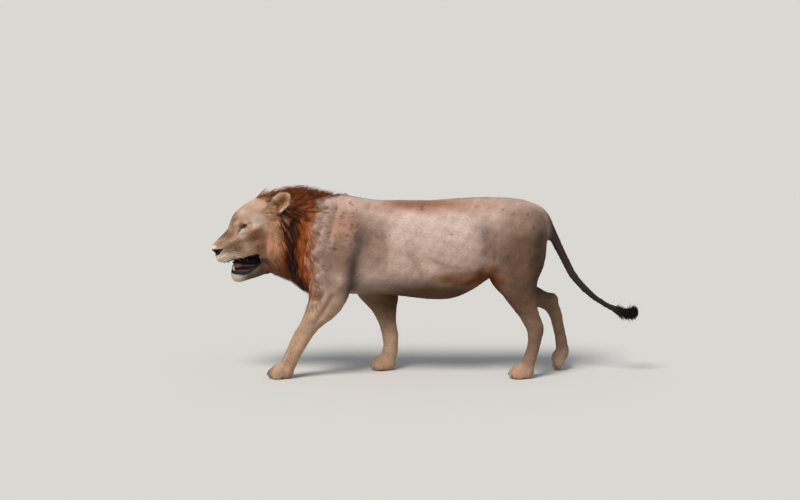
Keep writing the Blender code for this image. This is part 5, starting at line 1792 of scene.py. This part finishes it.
# %% [markdown]
# ## Mouth
# The jaw is dropped as he pants. Between the jaws it is dark: the lining of the mouth is wet and
# deep red, turning black where it is painted as the shade inside the mouth, with folds about 17 mm
# apart. One closed form, painted as that shade, fills the gap behind the tongue's tip, so that no
# daylight shows through. The lips are part of the skin.

# %% Lining of the mouth
wet = {"Roughness": 0.60, "IOR": 1.4, "Specular IOR Level": 0.15}
folds = (60.0, 60.0, 60.0)
# near black tones paint the shade inside the mouth over the lining's deep red
shaded_lining = blotched("wet_mouth_lining_painted_shade", wet, folds, "040303 120909", 4.0, (0.4, 0.002))
LINING_LINE = (
    # x, z, radius
    (-1.046, 0.612, 0.002),
    (-1.034, 0.613, 0.012),
    (-1.005, 0.618, 0.021),
    (-0.965, 0.620, 0.028),
    (-0.925, 0.624, 0.033),
    (-0.885, 0.630, 0.036),
)
line = [(x, MIDDLE_Y, z) for x, z, _ in LINING_LINE]
radii = np.array([radius for _, _, radius in LINING_LINE])
bead("mouth_lining", line, radii, shaded_lining, sides=20)
print("mouth lining")

# %% [markdown]
# The tongue fills the front of the mouth: it arches up behind the lower lip, with a groove down its
# middle. It is rings of an ellipse, lofted from the throat to the tip. Points as rough as the teeth
# of a rasp cover it, 1.5 mm apart, and show as bump. Pink shows at the tip only; painted shade
# darkens it towards the throat.


# %% Tongue
RASP_MM = 1.5


def wire_tongue(tree):
    """Blotches of pink some 22 mm wide, darkened towards the throat by painted shade, and the rasp.
    """
    place, _, shade = blotches(tree, (45.0, 45.0, 45.0), "6f4238 b07e6c", 4.0)
    place_x = add(tree, "SeparateXYZ", links={"Vector": place}).outputs["X"]
    # painted shade: the tongue's colour falls to 8 per cent towards the throat
    limits = {"From Min": -0.988, "From Max": -1.036, "To Min": 0.08, "To Max": 1.0}
    lit = add(tree, "MapRange", limits, {"Value": place_x}).outputs["Result"]
    toned = add(tree, "VectorMath", {"operation": "SCALE"}, {"Vector": shade, "Scale": lit})
    rasp = add(tree, "TexVoronoi", {"Scale": 1000 / RASP_MM}, {"Vector": place}).outputs["Distance"]
    points = {"Strength": 0.5, "Distance": 0.0006, "invert": True}
    relief = add(tree, "Bump", points, {"Height": rasp})
    return {"Base Color": toned.outputs["Vector"], "Normal": relief.outputs["Normal"]}


wet = {"Roughness": 0.50, "IOR": 1.4, "Specular IOR Level": 0.2}
wet_tongue = surface("wet_tongue_flesh", wet, wire_tongue)

TONGUE = np.array(
    [
        # x, z, half width, half height
        (-0.880, 0.598, 0.032, 0.012),
        (-0.930, 0.596, 0.034, 0.015),
        (-0.975, 0.594, 0.033, 0.017),
        (-1.005, 0.598, 0.029, 0.018),
        (-1.024, 0.598, 0.023, 0.018),
        (-1.037, 0.594, 0.018, 0.015),
        (-1.045, 0.590, 0.011, 0.010),
        (-1.048, 0.587, 0.003, 0.003),
    ]
)
fine = np.linspace(0, len(TONGUE) - 1, 36)
rows = np.stack([np.interp(fine, np.arange(len(TONGUE)), TONGUE[:, i]) for i in range(4)], 1)
for _ in range(3):
    rows[1:-1] = (rows[:-2] + 2 * rows[1:-1] + rows[2:]) / 4
TONGUE_TURNS = 28
turns = ring_turns(TONGUE_TURNS)
across = rows[:, 2, None] * np.cos(turns)
height = rows[:, 3, None] * np.sin(turns)
height = height - 0.0030 * brushed(across, 0.005) * (height > 0)
points = np.stack([rows[:, 0, None] + 0 * across, MIDDLE_Y + across, rows[:, 1, None] + height], 2)
points = points.reshape(-1, 3)
faces = tube_faces(len(rows), TONGUE_TURNS)
faces += [tuple(range(TONGUE_TURNS))[::-1], tuple(range(len(points) - TONGUE_TURNS, len(points)))]
tongue_mesh = bpy.data.meshes.new("grooved_tongue")
tongue_mesh.from_pydata(points.tolist(), [], faces)
tongue_mesh.polygons.foreach_set("use_smooth", [True] * len(faces))
tongue = show("grooved_tongue", tongue_mesh, wet_tongue)
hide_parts("tongue")
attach(tongue, "root")
print("tongue", len(faces), "faces")

# %% [markdown]
# ## Teeth and claws
# The four canines stay as the solid model has them, and get the finish of teeth: hard, smooth
# ivory enamel, with a faint grain along them, 2 mm wide and 17 mm long. Between them stand six
# small incisors in each jaw. Claws are horn, dark and layered. They are mostly drawn in as he
# walks, so that only their tips show between the hairs of each toe.

# %% Ivory and horn
enamel = {"Roughness": 0.28, "IOR": 1.62}
streaks = (500.0, 500.0, 60.0)
ivory = blotched("tooth_ivory_enamel", enamel, streaks, "b39f78 e9dfc6", 3.0, (0.2, 0.0003))
CANINES = [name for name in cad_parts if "canine" in name]
for name in CANINES:
    for material_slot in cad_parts[name].material_slots:
        material_slot.material = ivory
layers = (220.0, 220.0, 220.0)  # 4.5 mm apart
horn = blotched("claw_horn", {"Roughness": 0.35, "IOR": 1.55}, layers, "3a2f28 93826c", 3.0)
print(len(CANINES), "canines of ivory")


# %% Incisors and claws
def join_beads(name, beads, material):
    """Many small pieces as one object."""
    mesh = bpy.data.meshes.new(name)
    work = bmesh.new()
    for obj in beads:
        work.from_mesh(obj.data)
        bpy.data.objects.remove(obj)
    work.to_mesh(mesh)
    work.free()
    mesh.polygons.foreach_set("use_smooth", [True] * len(mesh.polygons))
    joined = show(name, mesh, material)
    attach(joined, "root")
    print(len(beads), name)


skin_tree = BVHTree.FromPolygons([Vector(p) for p in sheet.places], TRIANGLES.tolist())
INCISOR_WAY = ((0, 0), (-0.001, 0.006), (-0.001, 0.0105))
INCISOR_RADII = np.array([0.0026, 0.0028, 0.0014])
made = []
for jaw_word, rise in (("lower", 1), ("upper", -1)):
    low, high = box_of(f"left_{jaw_word}_canine")
    inner = MIDDLE_Y - high[1] - 0.001
    root_z = low[2] + 0.004 if rise > 0 else high[2] - 0.004
    for number in range(6):
        share = (number - 2.5) / 3
        root_x = (low[0] + high[0]) / 2 - 0.004 * (1 - share**2)
        root = np.array([root_x, MIDDLE_Y + share * inner, root_z])
        line = [root + np.array([dx, 0, rise * dz]) for dx, dz in INCISOR_WAY]
        made.append(bead("incisor", line, INCISOR_RADII, ivory, sides=8))
join_beads("incisors", made, ivory)

CLAW_WAY = ((0.010, 0.004), (0.003, 0.003), (-0.003, -0.001), (-0.006, -0.007))
CLAW_RADII = np.array([0.0032, 0.0030, 0.0022, 0.0005])
made = []
for name in PAW_NODES:
    low, high = box_of(name)
    for toe in (-0.042, -0.0145, 0.0145, 0.042):
        start = Vector((low[0] - 0.02, (low[1] + high[1]) / 2 + toe, low[2] + 0.024))
        root = skin_tree.ray_cast(start, Vector((1, 0, 0)), 0.12)[0]
        if root is None:
            continue
        line = np.array([np.array(root) + np.array([dx, 0.0, dz]) for dx, dz in CLAW_WAY])
        made.append(bead("claw", keep_inside(line, 0.002), CLAW_RADII, horn, sides=8))
join_beads("claws", made, horn)

# %% [markdown]
# ## Whiskers
# Four rows of stiff white whiskers spring from dark spots on each whisker pad, short in front and
# long behind. Each is a bead drawn out to a point, swept back and sagging a little.

# %% Whiskers
stiff_hair = {"Roughness": 0.4, "IOR": 1.55}
shades = (120.0, 120.0, 120.0)  # 8 mm apart
whisker_hair = blotched("white_whisker_keratin", stiff_hair, shades, "cfc8bc f4f0e8")
THICKEST, THINNEST = 0.00036, 0.00007
draw = np.random.default_rng(31)
made = []
for which in (-1, 1):
    for turn, (root_back, root_up) in enumerate(WHISKER_ROOTS):
        aim = on_head(root_back, which * 0.080, root_up)
        root, normal = (np.array(v) for v in skin_tree.find_nearest(Vector(aim))[:2])
        size = 0.044 + 0.018 * (turn % 5) + draw.uniform(-0.012, 0.012)
        way = unit(0.95 * normal + 0.50 * BACK - 0.12 * UP + draw.normal(0, 0.11, 3))
        fall = unit(0.65 * BACK - 0.75 * UP + 0.20 * normal)
        done = np.linspace(0, 1, 9)[:, None]
        line = root - normal * 0.002 + way * size * done + (fall - way) * size * 0.45 * done**2
        radii = THICKEST * (1 - done[:, 0]) ** 0.8 + THINNEST
        made.append(bead("whisker", line, radii, whisker_hair, sides=5))
join_beads("whiskers", made, whisker_hair)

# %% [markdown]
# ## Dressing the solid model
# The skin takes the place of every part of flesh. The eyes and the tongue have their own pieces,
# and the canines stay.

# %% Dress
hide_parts(*FLESH)
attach(skin, "root")
print("the skin replaces", len(FLESH), "solid parts")
